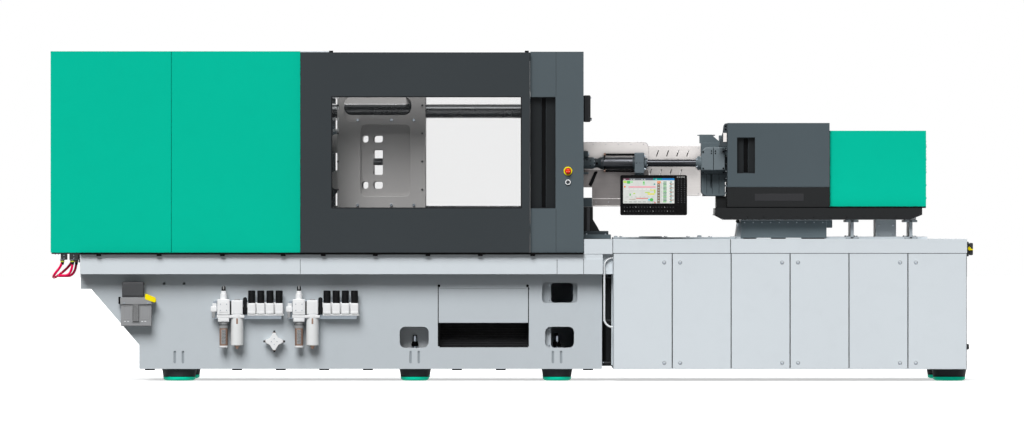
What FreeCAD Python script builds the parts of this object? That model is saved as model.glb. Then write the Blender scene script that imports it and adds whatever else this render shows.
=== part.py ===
import FreeCAD, Part
import math
import os
import re

import Sketcher

# Injection moulding machine with a toggle clamp, in millimetres.
# +X points from the clamp to the injection side, the operator stands on the -Y side, +Z is up.
# The origin is on the floor, in the middle of the machine's length and width.

SIZES = {
    # overall
    "half_length": 3273,
    "pad_high": 28,
    "foot_high": 57,
    "end_foot_dia": 248,
    "mid_foot_dia": 220,
    "levelling_screw_dia": 30,
    "foot_flare": 20,
    "pad_inset": 36,
    "levelling_screw_long": 220,
    "seam": 3,
    "run_gap": 0.3,
    # bed
    "bed_high": 817,
    "bed_half": 760,
    "bed_wall": 20,
    "bed_setback": 209,
    "bed_past_pillar": 131,
    "bed_nose_high": 229,
    "bed_nose_long": 75,
    "bed_heel_long": 416,
    "bed_heel_high": 171,
    "pit_half": 320,
    "heel_inner_x": 9,
    "heel_inner_z": 8,
    "apron_high": 143,
    "apron_strip_high": 36,
    "apron_sheet": 5,
    "apron_past_pillar": 136,
    "apron_tail_in": 45,
    "apron_half": 880,
    "end_block_high": 99,
    "end_block_long": 202,
    # openings in the bed's front wall
    "chute_left": 515,
    "chute_wide": 629,
    "chute_low": 153,
    "chute_high": 417,
    "chute_relief_dia": 19,
    "flap_drop": 243,
    "flap_depth": 18,
    "slide_fall": 520,
    "slide_sheet": 6,
    "slide_lip": 8,
    "slide_side": 60,
    "window_wide": 206,
    "window_high": 150,
    "window_round": 40,
    "window_low": 150,
    "upper_window_wide": 251,
    "upper_window_high": 144,
    "upper_window_round": 28,
    "upper_window_low": 469,
    "slot_wide": 17,
    "slot_high": 89,
    "slot_pitch": 58,
    "slot_low": 39,
    "wall_hole_dia": 18,
    "wall_hole_x": 593,
    "wall_hole_pitch": 142,
    "wall_hole_drop": 210,
    # clamp covers and gates
    "cover_half": 880,
    "cover_wall": 6,
    "cover_gap": 10,
    "cover_high": 1428,
    "end_cover_long": 855,
    "mid_cover_long": 913,
    "gate_long": 1626,
    "gate_high": 1420,
    "gate_thick": 40,
    "gate_skin": 4,
    "gate_clear": 5,
    "gate_window_left": 217,
    "gate_window_long": 1352,
    "gate_window_low": 313,
    "gate_window_high": 795,
    "rear_window_extra": 20,
    "pane_thick": 8,
    "gate_rail_deep": 25,
    "rail_tab_wide": 33,
    "rail_tab_high": 15,
    "beam_high": 40,
    "beam_deep": 34,
    "pillar_long": 378,
    "pillar_half": 890,
    "pillar_seat_wide": 50,
    "pillar_high": 1425,
    "grip_long": 179,
    "grip_low": 313,
    "grip_high": 791,
    "grip_deep": 50,
    "grip_slot_left": 80,
    "grip_slot_wide": 31,
    "barrel_port_half": 330,
    "barrel_port_low": 348,
    "barrel_port_high": 560,
    "estop_x": 267,
    "estop_z": 578,
    "estop_collar_dia": 60,
    "estop_head_dia": 40,
    "estop_head_thick": 18,
    "estop_stem_dia": 22,
    "estop_proud": 35,
    "collar_proud": 8,
    "stem_clear": 0.1,
    "key_drop": 79,
    "key_collar_dia": 40,
    "key_plug_dia": 26,
    "key_slot_wide": 5,
    "key_seat": 2,
    "stand_plate_half": 440,
    "stand_half": 400,
    "stand_clear": 5,
    "stand_high": 388,
    # clamp unit
    "axis_high": 658,
    "bar_spacing": 726,
    "bar_dia": 96,
    "bar_clear": 0.3,
    "bar_nut_dia": 165,
    "bar_nut_long": 90,
    "platen_half": 500,
    "fixed_platen_inset": 418,
    "fixed_platen_thick": 250,
    "locating_bore_dia": 160,
    "locating_bore_deep": 20,
    "nozzle_cone_small": 60,
    "nozzle_cone_large": 125,
    "mould_bolt_dia": 18,
    "mould_bolt_deep": 45,
    "mould_bolt_pitch": 420,
    "daylight": 707,
    "mould_plate_thick": 140,
    "platen_side_wall": 60,
    "platen_back_inset": 75,
    "side_pocket_deep": 40,
    "platen_shoe_long": 400,
    "platen_shoe_wide": 120,
    "tail_platen_thick": 250,
    "spindle_bore_dia": 130,
    "tail_foot_wide": 160,
    # toggle
    "link_long": 550,
    "toggle_angle": 52,
    "pivot_offset": 130,
    "platen_pivot_back": 623,
    "ear_radius": 70,
    "tail_ear_reach": 183,
    "link_radius": 62,
    "link_waist": 45,
    "link_half": 150,
    "fork_half": 90,
    "tail_ear_thick": 60,
    "pin_dia": 70,
    "pin_clear": 0.05,
    "side_clear": 0.5,
    "open_pin_clear": 0.5,
    "drive_crank": 230,
    "drive_lead_angle": 5,
    "drive_pin_dia": 44,
    "drive_link_thick": 30,
    "drive_link_radius": 40,
    "cheek_radius": 38,
    "cheek_out": 213,
    "crosshead_thick": 100,
    "crosshead_long": 130,
    "guide_rod_dia": 50,
    "guide_rod_y": 180,
    "guide_rod_reach": 560,
    "spindle_dia": 80,
    "spindle_long": 910,
    "clamp_motor_dia": 400,
    "clamp_motor_long": 560,
    "clamp_motor_bore": 96,
    "motor_flange_half": 220,
    "motor_flange_thick": 40,
    "ejector_rod_dia": 50,
    "ejector_plate_back": 300,
    "ejector_plate_thick": 40,
    # machine rails
    "platen_rail_wide": 110,
    "platen_rail_y": 400,
    "platen_rail_high": 40,
    # cabinet
    "cabinet_gap": 78,
    "door_wide": 415,
    "door_gap": 3,
    "gear_margin": 60,
    "gear_plate": 6,
    "drive_pitch": 170,
    "drive_gap": 30,
    "drive_deep": 240,
    "relay_high": 90,
    "relay_deep": 90,
    "door_high": 813,
    "door_thick": 25,
    "door_skin": 4,
    "door_rim": 18,
    "cabinet_base": 7,
    "cabinet_top_band": 103,
    "cabinet_wall": 12,
    "cabinet_back_half": 880,
    "lock_dia": 24,
    "lock_inset": 53,
    "lock_end": 33,
    "column_wide": 60,
    "column_y": 640,
    "handle_dia": 14,
    "handle_reach": 62,
    "handle_low": 291,
    "handle_high": 491,
    "handle_round": 60,
    "handle_y": 850,
    # injection unit
    "support_high": 135,
    "deck_plate": 18,
    "tray_x": 731,
    "tray_long": 1477,
    "tray_half": 420,
    "tray_high": 82,
    "tray_wall": 8,
    "tray_lip": 4,
    "tray_ramp_left": 58,
    "tray_ramp_right": 82,
    "tray_ramp_high": 34,
    "shoe_one_x": 300,
    "shoe_two_x": 1160,
    "shoe_long": 160,
    "carriage_rail_y": 260,
    "carriage_rail_wide": 60,
    "carriage_rail_high": 50,
    "block_x": 916,
    "block_long": 611,
    "block_half": 330,
    "post_one_x": 1711,
    "post_two_x": 2130,
    "post_thick": 20,
    "post_flange": 70,
    "plate_post_x": 1881,
    "plate_post_long": 143,
    "housing_x": 820,
    "housing_long": 728,
    "housing_half": 400,
    "housing_low": 7,
    "housing_high": 600,
    "housing_wall": 6,
    "band_high": 142,
    "housing_grip_x": 68,
    "housing_grip_wide": 128,
    "housing_grip_low": 241,
    "housing_grip_high": 256,
    "housing_grip_deep": 40,
    "motor_cover_long": 686,
    "motor_cover_half": 370,
    "motor_cover_high": 545,
    "feed_x": 632,
    "feed_long": 174,
    "feed_half": 190,
    "feed_low": 247,
    "feed_high": 134,
    "feed_top_high": 60,
    "feed_throat_dia": 60,
    "feed_throat_x": 42,
    "barrel_dia": 130,
    "barrel_bore": 56,
    "barrel_reach": 287,
    "screw_dia": 55.9,
    "screw_core_dia": 34,
    "screw_pitch": 56,
    "band_dia": 168,
    "heater_long": 90,
    "heater_pitch": 120,
    "nozzle_dia": 64,
    "nozzle_long": 120,
    "nozzle_hole": 6,
    "drive_plate_half": 240,
    "drive_plate_thick": 90,
    "drive_plate_x": 1120,
    "drive_guide_dia": 60,
    "drive_guide_y": 170,
    "drive_motor_dia": 260,
    "drive_motor_long": 330,
    "frame_half": 230,
    "frame_thick": 60,
    "inject_stroke": 220,
    "screw_end_gap": 10,
    "screw_tip_long": 40,
    "flight_thick": 8,
    "flight_clear": 0.4,
    "carriage_forward": 200,
    "rod_bore_start": 90,
    "cylinder_y": 260,
    "cylinder_z": 10,
    "cylinder_dia": 91,
    "cylinder_x": 124,
    "cylinder_long": 241,
    "cylinder_cap_half": 76,
    "cylinder_cap_long": 72,
    "cylinder_rod_dia": 53,
    "guard_half": 190,
    "guard_sheet": 3,
    "guard_arm_thick": 20,
    "guard_low": 183,
    "guard_high": 140,
    "guard_long": 467,
    "guard_step": 137,
    "slide_guard_half": 176,
    "slide_guard_low": 244,
    "slide_guard_high": 112,
    # operator panel
    "panel_x": 260,
    "panel_wide": 474,
    "panel_high": 285,
    "panel_thick": 40,
    "panel_z": 383,
    "panel_y": 880,
    "arm_dia": 50,
    "arm_z": 128,
    "arm_pin_half": 40,
    # small units
    "socket_x": 284,
    "socket_wide": 222,
    "socket_deep": 70,
    "air_x": 933,
    "air_pitch": 535,
    "air_reach": 60,
    "air_drop": 225,
    "air_dome_high": 46,
    "air_dome_dia": 32,
    "air_neck_high": 50,
    "air_neck_dia": 44,
    "air_head_high": 113,
    "air_head_wide": 90,
    "air_skirt_high": 48,
    "air_skirt_half": 41,
    "air_step": 10,
    "air_filter_x": 84,
    "air_filter_high": 183,
    "air_filter_dia": 60,
    "air_bowl_gap": 96,
    "air_bowl_high": 226,
    "air_bowl_dia": 88,
    "air_drain_high": 22,
    "air_cock_reach": 94,
    "air_knob_gap": 47,
    "air_coil_gap": 103,
    "air_valve_high": 88,
    "air_manifold_past": 38,
    "coil_pitch": 65,
    "coil_high": 90,
    "coil_dia": 52,
    "star_x": 443,
    "star_drop": 621,
    "star_block_half": 40,
    "star_spoke_dia": 26,
    "plug_reach": 45,
    "plug_wide": 100,
    "terminal_low": 927,
    "terminal_high": 192,
    "terminal_wide": 120,
    "terminal_deep": 60,
    "hose_dia": 18,
    "hose_bend": 55,
    "coolant_plate_thick": 12,
    "coolant_block_high": 39,
}

doc = FreeCAD.newDocument("injection_moulding_machine")
sheet = doc.addObject("Spreadsheet::Sheet", "sizes")
for row, (size_name, size_value) in enumerate(SIZES.items(), start=1):
    sheet.set(f"A{row}", size_name)
    sheet.set(f"B{row}", str(size_value))
    sheet.setAlias(f"B{row}", size_name)
doc.recompute()


def size(name):
    """The number that a cell of the sheet holds."""
    return float(sheet.get(name))


def linked(text):
    """An expression in which each size's name points at its cell."""
    return re.sub(r"[a-z_]+", lambda word: f"sizes.{word.group()}" if word.group() in SIZES else word.group(),
                  text)


def value(text):
    """The number that an expression of sizes comes to."""
    return float(sheet.evalExpression(linked(text)))


def bind(feature, place, text):
    feature.setExpression(place, linked(str(text)))


# Places that several sub-parts share, worked out from the sizes above.
BED_LOW = "(pad_high + foot_high)"
DECK = f"({BED_LOW} + bed_high)"
COVER_LOW = f"({DECK} + cover_gap)"
COVER_TOP = f"({COVER_LOW} + cover_high)"
AXIS = f"({DECK} + axis_high)"
COVER_LEFT = "(-half_length)"
COVER_SEAM = f"({COVER_LEFT} + end_cover_long)"
COVER_RIGHT = f"({COVER_SEAM} + seam + mid_cover_long)"
GATE_LEFT = f"({COVER_RIGHT} + seam)"
GATE_RIGHT = f"({GATE_LEFT} + gate_long)"
PILLAR_LEFT = f"({GATE_RIGHT} + seam)"
PILLAR_RIGHT = f"({PILLAR_LEFT} + pillar_long)"
BED_LEFT = f"({COVER_LEFT} + bed_setback)"
BED_RIGHT = f"({PILLAR_RIGHT} + bed_past_pillar)"
CABINET_LEFT = f"({BED_RIGHT} + cabinet_gap)"
CABINET_RIGHT = f"({CABINET_LEFT} + 6 * door_wide + 7 * door_gap)"
CABINET_TOP = f"({BED_LOW} + cabinet_base + door_high + cabinet_top_band)"
GATE_BACK = "(cover_half + gate_clear)"
GATE_FRONT = f"({GATE_BACK} + gate_thick)"
BAR = "(bar_spacing / 2)"
PLATEN_X = f"({PILLAR_RIGHT} - fixed_platen_inset)"
PLATEN_BACK = f"({PLATEN_X} + fixed_platen_thick)"
MOULD_FACE = f"({PLATEN_X} - daylight)"
PLATEN_PIVOT = f"({MOULD_FACE} - platen_pivot_back)"
TAIL_PIVOT = f"({PLATEN_PIVOT} - 2 * link_long * cos(toggle_angle * 1deg))"
KNEE_X = f"({TAIL_PIVOT} + link_long * cos(toggle_angle * 1deg))"
KNEE_RISE = "(link_long * sin(toggle_angle * 1deg))"
CRANK_ANGLE = "(toggle_angle + drive_lead_angle)"
CRANK_X = f"({TAIL_PIVOT} + drive_crank * cos({CRANK_ANGLE} * 1deg))"
CRANK_RISE = f"(drive_crank * sin({CRANK_ANGLE} * 1deg))"
CHEEK_X = f"({TAIL_PIVOT} + 2 * drive_crank * cos({CRANK_ANGLE} * 1deg))"
TAIL_FACE = f"({TAIL_PIVOT} - tail_ear_reach)"
TAIL_BACK = f"({TAIL_FACE} - tail_platen_thick)"
SUPPORT_LOW = f"({CABINET_TOP} + 3)"
TRAY_LOW = f"({SUPPORT_LOW} + support_high)"
TRAY_TOP = f"({TRAY_LOW} + tray_high)"
TRAY_LEFT = f"({CABINET_LEFT} + tray_x)"
TRAY_RIGHT = f"({TRAY_LEFT} + tray_long)"
HOUSING_LEFT = f"({CABINET_LEFT} + housing_x)"
HOUSING_RIGHT = f"({HOUSING_LEFT} + housing_long)"
HOUSING_LOW = f"({TRAY_TOP} + housing_low)"
FEED_LEFT = f"({CABINET_LEFT} + feed_x)"
FEED_RIGHT = f"({FEED_LEFT} + feed_long)"
DRIVE_LEFT = f"({CABINET_LEFT} + drive_plate_x)"
FRAME_LEFT = f"({HOUSING_LEFT} + 10)"
FRAME_RIGHT = f"({HOUSING_RIGHT} + 560)"
STAND_TOP = f"({COVER_LOW} + stand_high)"
END_BLOCK_TOP = f"({COVER_LOW} + end_block_high - 4)"


# Building blocks: each takes expressions, so that it follows the sheet.
def box(name, x, y, z):
    """A block between two places on each axis."""
    solid = doc.addObject("Part::Box", name)
    for side, axis, (low, high) in zip(("Length", "Width", "Height"), "xyz", (x, y, z)):
        bind(solid, side, f"({high}) - ({low})")
        bind(solid, f"Placement.Base.{axis}", low)
    return solid


TURNS = {
    "x": FreeCAD.Rotation(FreeCAD.Vector(0, 1, 0), 90),
    "y": FreeCAD.Rotation(FreeCAD.Vector(1, 0, 0), -90),
    "z": FreeCAD.Rotation(),
}


def turned_base(solid, axis, low, across, upward):
    """Stands a primitive along an axis, from low, at its two other coordinates in X, Y, Z order."""
    solid.Placement = FreeCAD.Placement(FreeCAD.Vector(), TURNS[axis])
    places = {"x": (low, across, upward), "y": (across, low, upward), "z": (across, upward, low)}[axis]
    for letter, place in zip("xyz", places):
        bind(solid, f"Placement.Base.{letter}", place)
    return solid


def rod(name, axis, span, across, upward, dia):
    """A round bar along an axis."""
    low, high = span
    solid = doc.addObject("Part::Cylinder", name)
    bind(solid, "Radius", f"({dia}) / 2")
    bind(solid, "Height", f"({high}) - ({low})")
    return turned_base(solid, axis, low, across, upward)


def cone(name, axis, span, across, upward, low_dia, high_dia):
    low, high = span
    solid = doc.addObject("Part::Cone", name)
    bind(solid, "Radius1", f"({low_dia}) / 2")
    bind(solid, "Radius2", f"({high_dia}) / 2")
    bind(solid, "Height", f"({high}) - ({low})")
    return turned_base(solid, axis, low, across, upward)


def join(name, *solids):
    fused = doc.addObject("Part::MultiFuse", name)
    fused.Shapes = list(solids)
    fused.Refine = True
    return fused


def group(name, *solids):
    """Separate solids that belong to one sub-part."""
    bundle = doc.addObject("Part::Compound", name)
    bundle.Links = list(solids)
    return bundle


def cut(name, base, *tools):
    result = doc.addObject("Part::Cut", name)
    result.Base = base
    result.Tool = tools[0] if len(tools) == 1 else group(name + "_tools", *tools)
    result.Refine = True
    return result


def mirrored(name, solid, axis="y"):
    """The same piece on the other side of the machine's middle plane."""
    twin = doc.addObject("Part::Mirroring", name)
    twin.Source = solid
    twin.Normal = {"x": (1, 0, 0), "y": (0, 1, 0), "z": (0, 0, 1)}[axis]
    return twin


def both_sides(name, solid):
    return (solid, mirrored(name, solid))


PLANES = {"y": "XZ_Plane", "x": "YZ_Plane", "z": "XY_Plane"}


def sketched_body(name, axis):
    """A body and a sketch that lies square to an axis."""
    body = doc.addObject("PartDesign::Body", name)
    sketch = body.newObject("Sketcher::SketchObject", name + "_sketch")
    plane = [feature for feature in body.Origin.OriginFeatures if feature.Role == PLANES[axis]][0]
    sketch.AttachmentSupport = [(plane, "")]
    sketch.MapMode = "FlatFace"
    return body, sketch


def padded(body, sketch, axis, span):
    low, high = span
    pad = body.newObject("PartDesign::Pad", body.Name + "_pad")
    pad.Profile = sketch
    bind(pad, "Length", f"({high}) - ({low})")
    body.Tip = pad
    bind(body, f"Placement.Base.{axis}", high if axis == "y" else low)
    return body


def place_point(sketch, geometry, end, letters, place):
    """Ties a point of a sketch to the origin by expressions."""
    for letter, text in zip(letters, place):
        index = sketch.addConstraint(Sketcher.Constraint(f"Distance{letter}", -1, 1, geometry, end,
                                                         value(text)))
        bind(sketch, f"Constraints[{index}]", text)


def draw_polygon(sketch, points):
    """Closed straight edges, each corner tied to the origin."""
    places = [FreeCAD.Vector(value(across), value(upward), 0) for across, upward in points]
    count = len(points)
    for index in range(count):
        sketch.addGeometry(Part.LineSegment(places[index], places[(index + 1) % count]), False)
    for index in range(count):
        sketch.addConstraint(Sketcher.Constraint("Coincident", index, 2, (index + 1) % count, 1))
    for index, point in enumerate(points):
        place_point(sketch, index, 1, "XY", point)


def profile(name, axis, points, span):
    """A straight-edged outline, padded along an axis. Its points are in X, Y, Z order."""
    body, sketch = sketched_body(name, axis)
    draw_polygon(sketch, points)
    return padded(body, sketch, axis, span)


def rounded(name, axis, across, upward, span, radius):
    """A rectangle with round corners, padded along an axis."""
    body, sketch = sketched_body(name, axis)
    left, right = (value(text) for text in across)
    low, high = (value(text) for text in upward)
    bend = value(radius)
    corners = [(right - bend, low + bend), (right - bend, high - bend), (left + bend, high - bend),
               (left + bend, low + bend)]
    starts = [(left + bend, low), (right, low + bend), (right - bend, high), (left, high - bend)]
    ends = [(right - bend, low), (right, high - bend), (left + bend, high), (left, low + bend)]
    for side in range(4):
        line = Part.LineSegment(FreeCAD.Vector(*starts[side], 0), FreeCAD.Vector(*ends[side], 0))
        circle = Part.Circle(FreeCAD.Vector(*corners[side], 0), FreeCAD.Vector(0, 0, 1), bend)
        first = (side - 1) * math.pi / 2
        sketch.addGeometry(line, False)
        sketch.addGeometry(Part.ArcOfCircle(circle, first, first + math.pi / 2), False)
    for edge in range(8):
        sketch.addConstraint(Sketcher.Constraint("Tangent", edge, 2, (edge + 1) % 8, 1))
    for line, kind in ((0, "Horizontal"), (2, "Vertical"), (4, "Horizontal"), (6, "Vertical")):
        sketch.addConstraint(Sketcher.Constraint(kind, line))
    for arc in (3, 5, 7):
        sketch.addConstraint(Sketcher.Constraint("Equal", 1, arc))
    index = sketch.addConstraint(Sketcher.Constraint("Radius", 1, bend))
    bind(sketch, f"Constraints[{index}]", radius)
    place_point(sketch, 0, 1, "Y", (upward[0],))
    place_point(sketch, 4, 1, "Y", (upward[1],))
    place_point(sketch, 2, 1, "X", (across[1],))
    place_point(sketch, 6, 1, "X", (across[0],))
    return padded(body, sketch, axis, span)


def finished(name, feature):
    """Gives a sub-part its label, which is also its file's name."""
    feature.Label = name
    SUBPARTS.append(feature)
    return feature


SUBPARTS = []


def span_about(middle, half):
    return (f"{middle} - ({half})", f"{middle} + ({half})")


# ---------------------------------------------------------------- bed
HEEL = f"({BED_LEFT} + bed_heel_long)"
HEEL_TOP = f"({BED_LOW} + bed_heel_high)"
NOSE = f"({DECK} - bed_wall - bed_nose_high)"
NOSE_RIGHT = f"({BED_LEFT} + bed_nose_long)"
WALL_TOP = f"({DECK} - bed_wall)"
INSIDE_HALF = "(bed_half - bed_wall)"


def bed_side(name, span):
    """A side wall: a sheet with the bed's outline, whose left end slopes."""
    return profile(name, "y", [
        (BED_LEFT, WALL_TOP), (BED_LEFT, NOSE), (NOSE_RIGHT, NOSE), (HEEL, HEEL_TOP), (HEEL, BED_LOW),
        (BED_RIGHT, BED_LOW), (BED_RIGHT, WALL_TOP),
    ], span)


def bed_ends():
    """The bent sheet at the left end and the plate at the right end, between the side walls."""
    inside = (f"-{INSIDE_HALF}", INSIDE_HALF)
    left = profile("bed_left_end", "y", [
        (BED_LEFT, WALL_TOP), (BED_LEFT, NOSE), (NOSE_RIGHT, NOSE), (HEEL, HEEL_TOP), (HEEL, BED_LOW),
        (f"{HEEL} + bed_wall", BED_LOW), (f"{HEEL} + bed_wall", f"{HEEL_TOP} + heel_inner_z"),
        (f"{NOSE_RIGHT} + heel_inner_x", f"{NOSE} + bed_wall"),
        (f"{BED_LEFT} + bed_wall", f"{NOSE} + bed_wall"),
        (f"{BED_LEFT} + bed_wall", WALL_TOP),
    ], inside)
    right = box("bed_right_end", (f"{BED_RIGHT} - bed_wall", BED_RIGHT), inside, (BED_LOW, WALL_TOP))
    return left, right


FOOT_MIDDLES = {
    "one": f"({BED_LEFT} + bed_heel_long + 282)",
    "two": f"({PILLAR_RIGHT} - 1199)",
    "three": f"({PILLAR_RIGHT} - 188)",
    "four": f"({CABINET_RIGHT} - 118)",
}
FOOT_Y = "(bed_half - 150)"


def bed_chute():
    """The slide under the mould, between two hangers, and the flap over its mouth."""
    chute_right = "(chute_wide - chute_left)"
    mouth_top = f"({BED_LOW} + chute_low + chute_high)"
    flap = profile("bed_chute_flap", "x", [
        ("-bed_half", mouth_top), (f"-{INSIDE_HALF}", mouth_top),
        (f"-({INSIDE_HALF} - flap_depth)", f"{mouth_top} - flap_drop"),
        ("-(bed_half - flap_depth)", f"{mouth_top} - flap_drop"),
    ], ("-chute_left + chute_relief_dia", f"{chute_right} - chute_relief_dia"))
    slide_low = f"({BED_LOW} + chute_low - slide_sheet - slide_lip)"
    slide = profile("bed_chute_slide", "x", [
        (f"-{INSIDE_HALF}", slide_low), (f"-{INSIDE_HALF}", f"{slide_low} + slide_sheet"),
        ("pit_half", f"{BED_LOW} + chute_low + slide_fall"),
        ("pit_half", f"{BED_LOW} + chute_low + slide_fall - slide_sheet"),
    ], ("-(chute_left + slide_side)", f"{chute_right} + slide_side"))
    hangers = [
        box(f"bed_slide_wall_{side}", span, (f"-{INSIDE_HALF}", "pit_half"),
            (f"{BED_LOW} + bed_wall", WALL_TOP))
        for side, span in (("left",
                            ("-(chute_left + slide_side + slide_sheet)", "-(chute_left + slide_side)")),
                           ("right", (f"{chute_right} + slide_side",
                                      f"{chute_right} + slide_side + slide_sheet")))
    ]
    return flap, slide, *hangers


def bed_frame():
    """A weldment of sheets: two sides, two ends, a floor, a deck, the chute and two columns to the cabinet."""
    deck_half = "(apron_half - apron_sheet)"
    deck = box("bed_deck_sheet", (BED_LEFT, BED_RIGHT), (f"-{deck_half}", deck_half), (WALL_TOP, DECK))
    deck_through = (f"{WALL_TOP} - 1", f"{DECK} + 1")
    pit = box("bed_toggle_pit", (f"{TAIL_PIVOT} + 100", f"{PLATEN_PIVOT} + 40"), ("-pit_half", "pit_half"),
              deck_through)
    drop = box("bed_drop_hole", (f"{MOULD_FACE} + 20", f"{PLATEN_X} - 20"), ("-pit_half", "pit_half"),
               deck_through)
    chute_right = "(chute_wide - chute_left)"
    front = ("-(bed_half + 1)", f"-({INSIDE_HALF} - 1)")
    chute_z = (f"{BED_LOW} + chute_low", f"{BED_LOW} + chute_low + chute_high")
    mouth = box("bed_chute_mouth", ("-chute_left", chute_right), front, chute_z)
    reliefs = [
        rod(f"bed_chute_relief_{side}", "y", front, across, f"{chute_z[1]}", "chute_relief_dia")
        for side, across in (("left", "-chute_left"), ("right", chute_right))
    ]
    window_z = (f"{BED_LOW} + window_low", f"{BED_LOW} + window_low + window_high")
    windows = [
        rounded("bed_window_left", "y", span_about(f"({PILLAR_RIGHT} - 1203)", "window_wide / 2"), window_z,
                front,
                "window_round"),
        rounded("bed_window_right", "y", span_about(f"({PILLAR_RIGHT} - 170)", "window_wide / 2"), window_z,
                front,
                "window_round"),
        rounded("bed_window_upper", "y", span_about(f"({PILLAR_RIGHT} - 169)", "upper_window_wide / 2"),
                (f"{BED_LOW} + upper_window_low", f"{BED_LOW} + upper_window_low + upper_window_high"), front,
                "upper_window_round"),
    ]
    slots = {}
    for side, across in (("front", front), ("rear", (f"{INSIDE_HALF} - 1", "bed_half + 1"))):
        slots[side] = [
            rounded(f"bed_slot_{side}_{key}_{end}", "y",
                    span_about(f"({FOOT_MIDDLES[key]} {sign} slot_pitch / 2)", "slot_wide / 2"),
                    (f"{BED_LOW} + slot_low", f"{BED_LOW} + slot_low + slot_high"), across,
                    "slot_wide * 0.49")
            for key in ("one", "two", "three") for end, sign in (("left", "-"), ("right", "+"))
        ]
    holes = [
        rod(f"bed_wall_hole_{number}", "y", front, f"{BED_LEFT} + wall_hole_x + {number} * wall_hole_pitch",
            f"{DECK} - wall_hole_drop", "wall_hole_dia")
        for number in (0, 1)
    ]
    columns = [
        box(f"bed_column_{side}", (BED_RIGHT, CABINET_LEFT), span, (f"{BED_LOW} + bed_wall", WALL_TOP))
        for side, span in (("front", ("-(column_y + column_wide)", "-column_y")),
                           ("rear", ("column_y", "column_y + column_wide")))
    ]
    floor = box("bed_floor_sheet", (f"{HEEL} + bed_wall", f"{BED_RIGHT} - bed_wall"),
                (f"-{INSIDE_HALF}", INSIDE_HALF), (BED_LOW, f"{BED_LOW} + bed_wall"))
    sheets = [
        cut("bed_front_wall", bed_side("bed_front_sheet", ("-bed_half", f"-{INSIDE_HALF}")), mouth, *reliefs,
            *windows,
            *slots["front"], *holes),
        cut("bed_rear_wall", bed_side("bed_rear_sheet", (INSIDE_HALF, "bed_half")), *slots["rear"]),
        cut("bed_deck", deck, pit, drop),
        cut("bed_floor", floor, *levelling_holes("bed_levelling_hole", ("one", "two", "three"))),
    ]
    return finished("bed_frame", group("bed_welded", *sheets, *bed_ends(), *bed_chute(), *columns))


def bed_aprons():
    right = f"({PILLAR_RIGHT} + apron_past_pillar)"
    low = f"({DECK} - apron_high)"
    strip_low = f"({DECK} - apron_strip_high)"
    skin = "-(apron_half - apron_sheet)"
    face = box("apron_face", (BED_LEFT, right), ("-apron_half", skin), (low, strip_low))
    strip = box("apron_strip", (BED_LEFT, right), ("-(apron_half - 3)", skin), (f"{strip_low} - 1", DECK))
    foot = box("apron_foot", (BED_LEFT, right), ("-apron_half", "-(apron_half - 30)"),
               (low, f"{low} + apron_sheet"))
    ends = [
        box(f"apron_end_{side}", (first, second), ("-apron_half + 3", "-bed_half"),
            (low, f"{DECK} - bed_wall"))
        for side, first, second in (("left", BED_LEFT, f"{BED_LEFT} + apron_sheet"),
                                    ("right", f"{right} - apron_sheet", right))
    ]
    grooves = [
        box(f"apron_seam_{number}", span_about(place, "seam / 2"), ("-(apron_half + 1)", "-(apron_half - 2)"),
            (f"{low} - 1", f"{strip_low} + 1"))
        for number, place in enumerate((COVER_RIGHT, f"({PILLAR_RIGHT} - 188)", PILLAR_RIGHT))
    ]
    tail = box("apron_tail", (f"{right} - 1", f"{CABINET_LEFT} - seam"),
               ("-(apron_half - apron_tail_in)", "-(apron_half - apron_tail_in - apron_sheet)"), (low, DECK))
    front = cut("apron_front", join("apron_front_sheet", face, strip, foot, *ends, tail), *grooves)
    block_left = f"({PILLAR_RIGHT} + seam)"
    block = box("end_block_outer", (block_left, f"{block_left} + end_block_long"),
                ("-apron_half", "apron_half"),
                (DECK, END_BLOCK_TOP))
    hollow = box("end_block_inner", (f"{block_left} + apron_sheet", f"{block_left} + end_block_long + 1"),
                 ("-(apron_half - apron_sheet)", "apron_half - apron_sheet"),
                 (f"{DECK} - 1", f"{END_BLOCK_TOP} - apron_sheet"))
    return finished("bed_aprons", group("bed_aprons_set", *both_sides("apron_rear", front),
                                        cut("end_block", block, hollow)))


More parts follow.
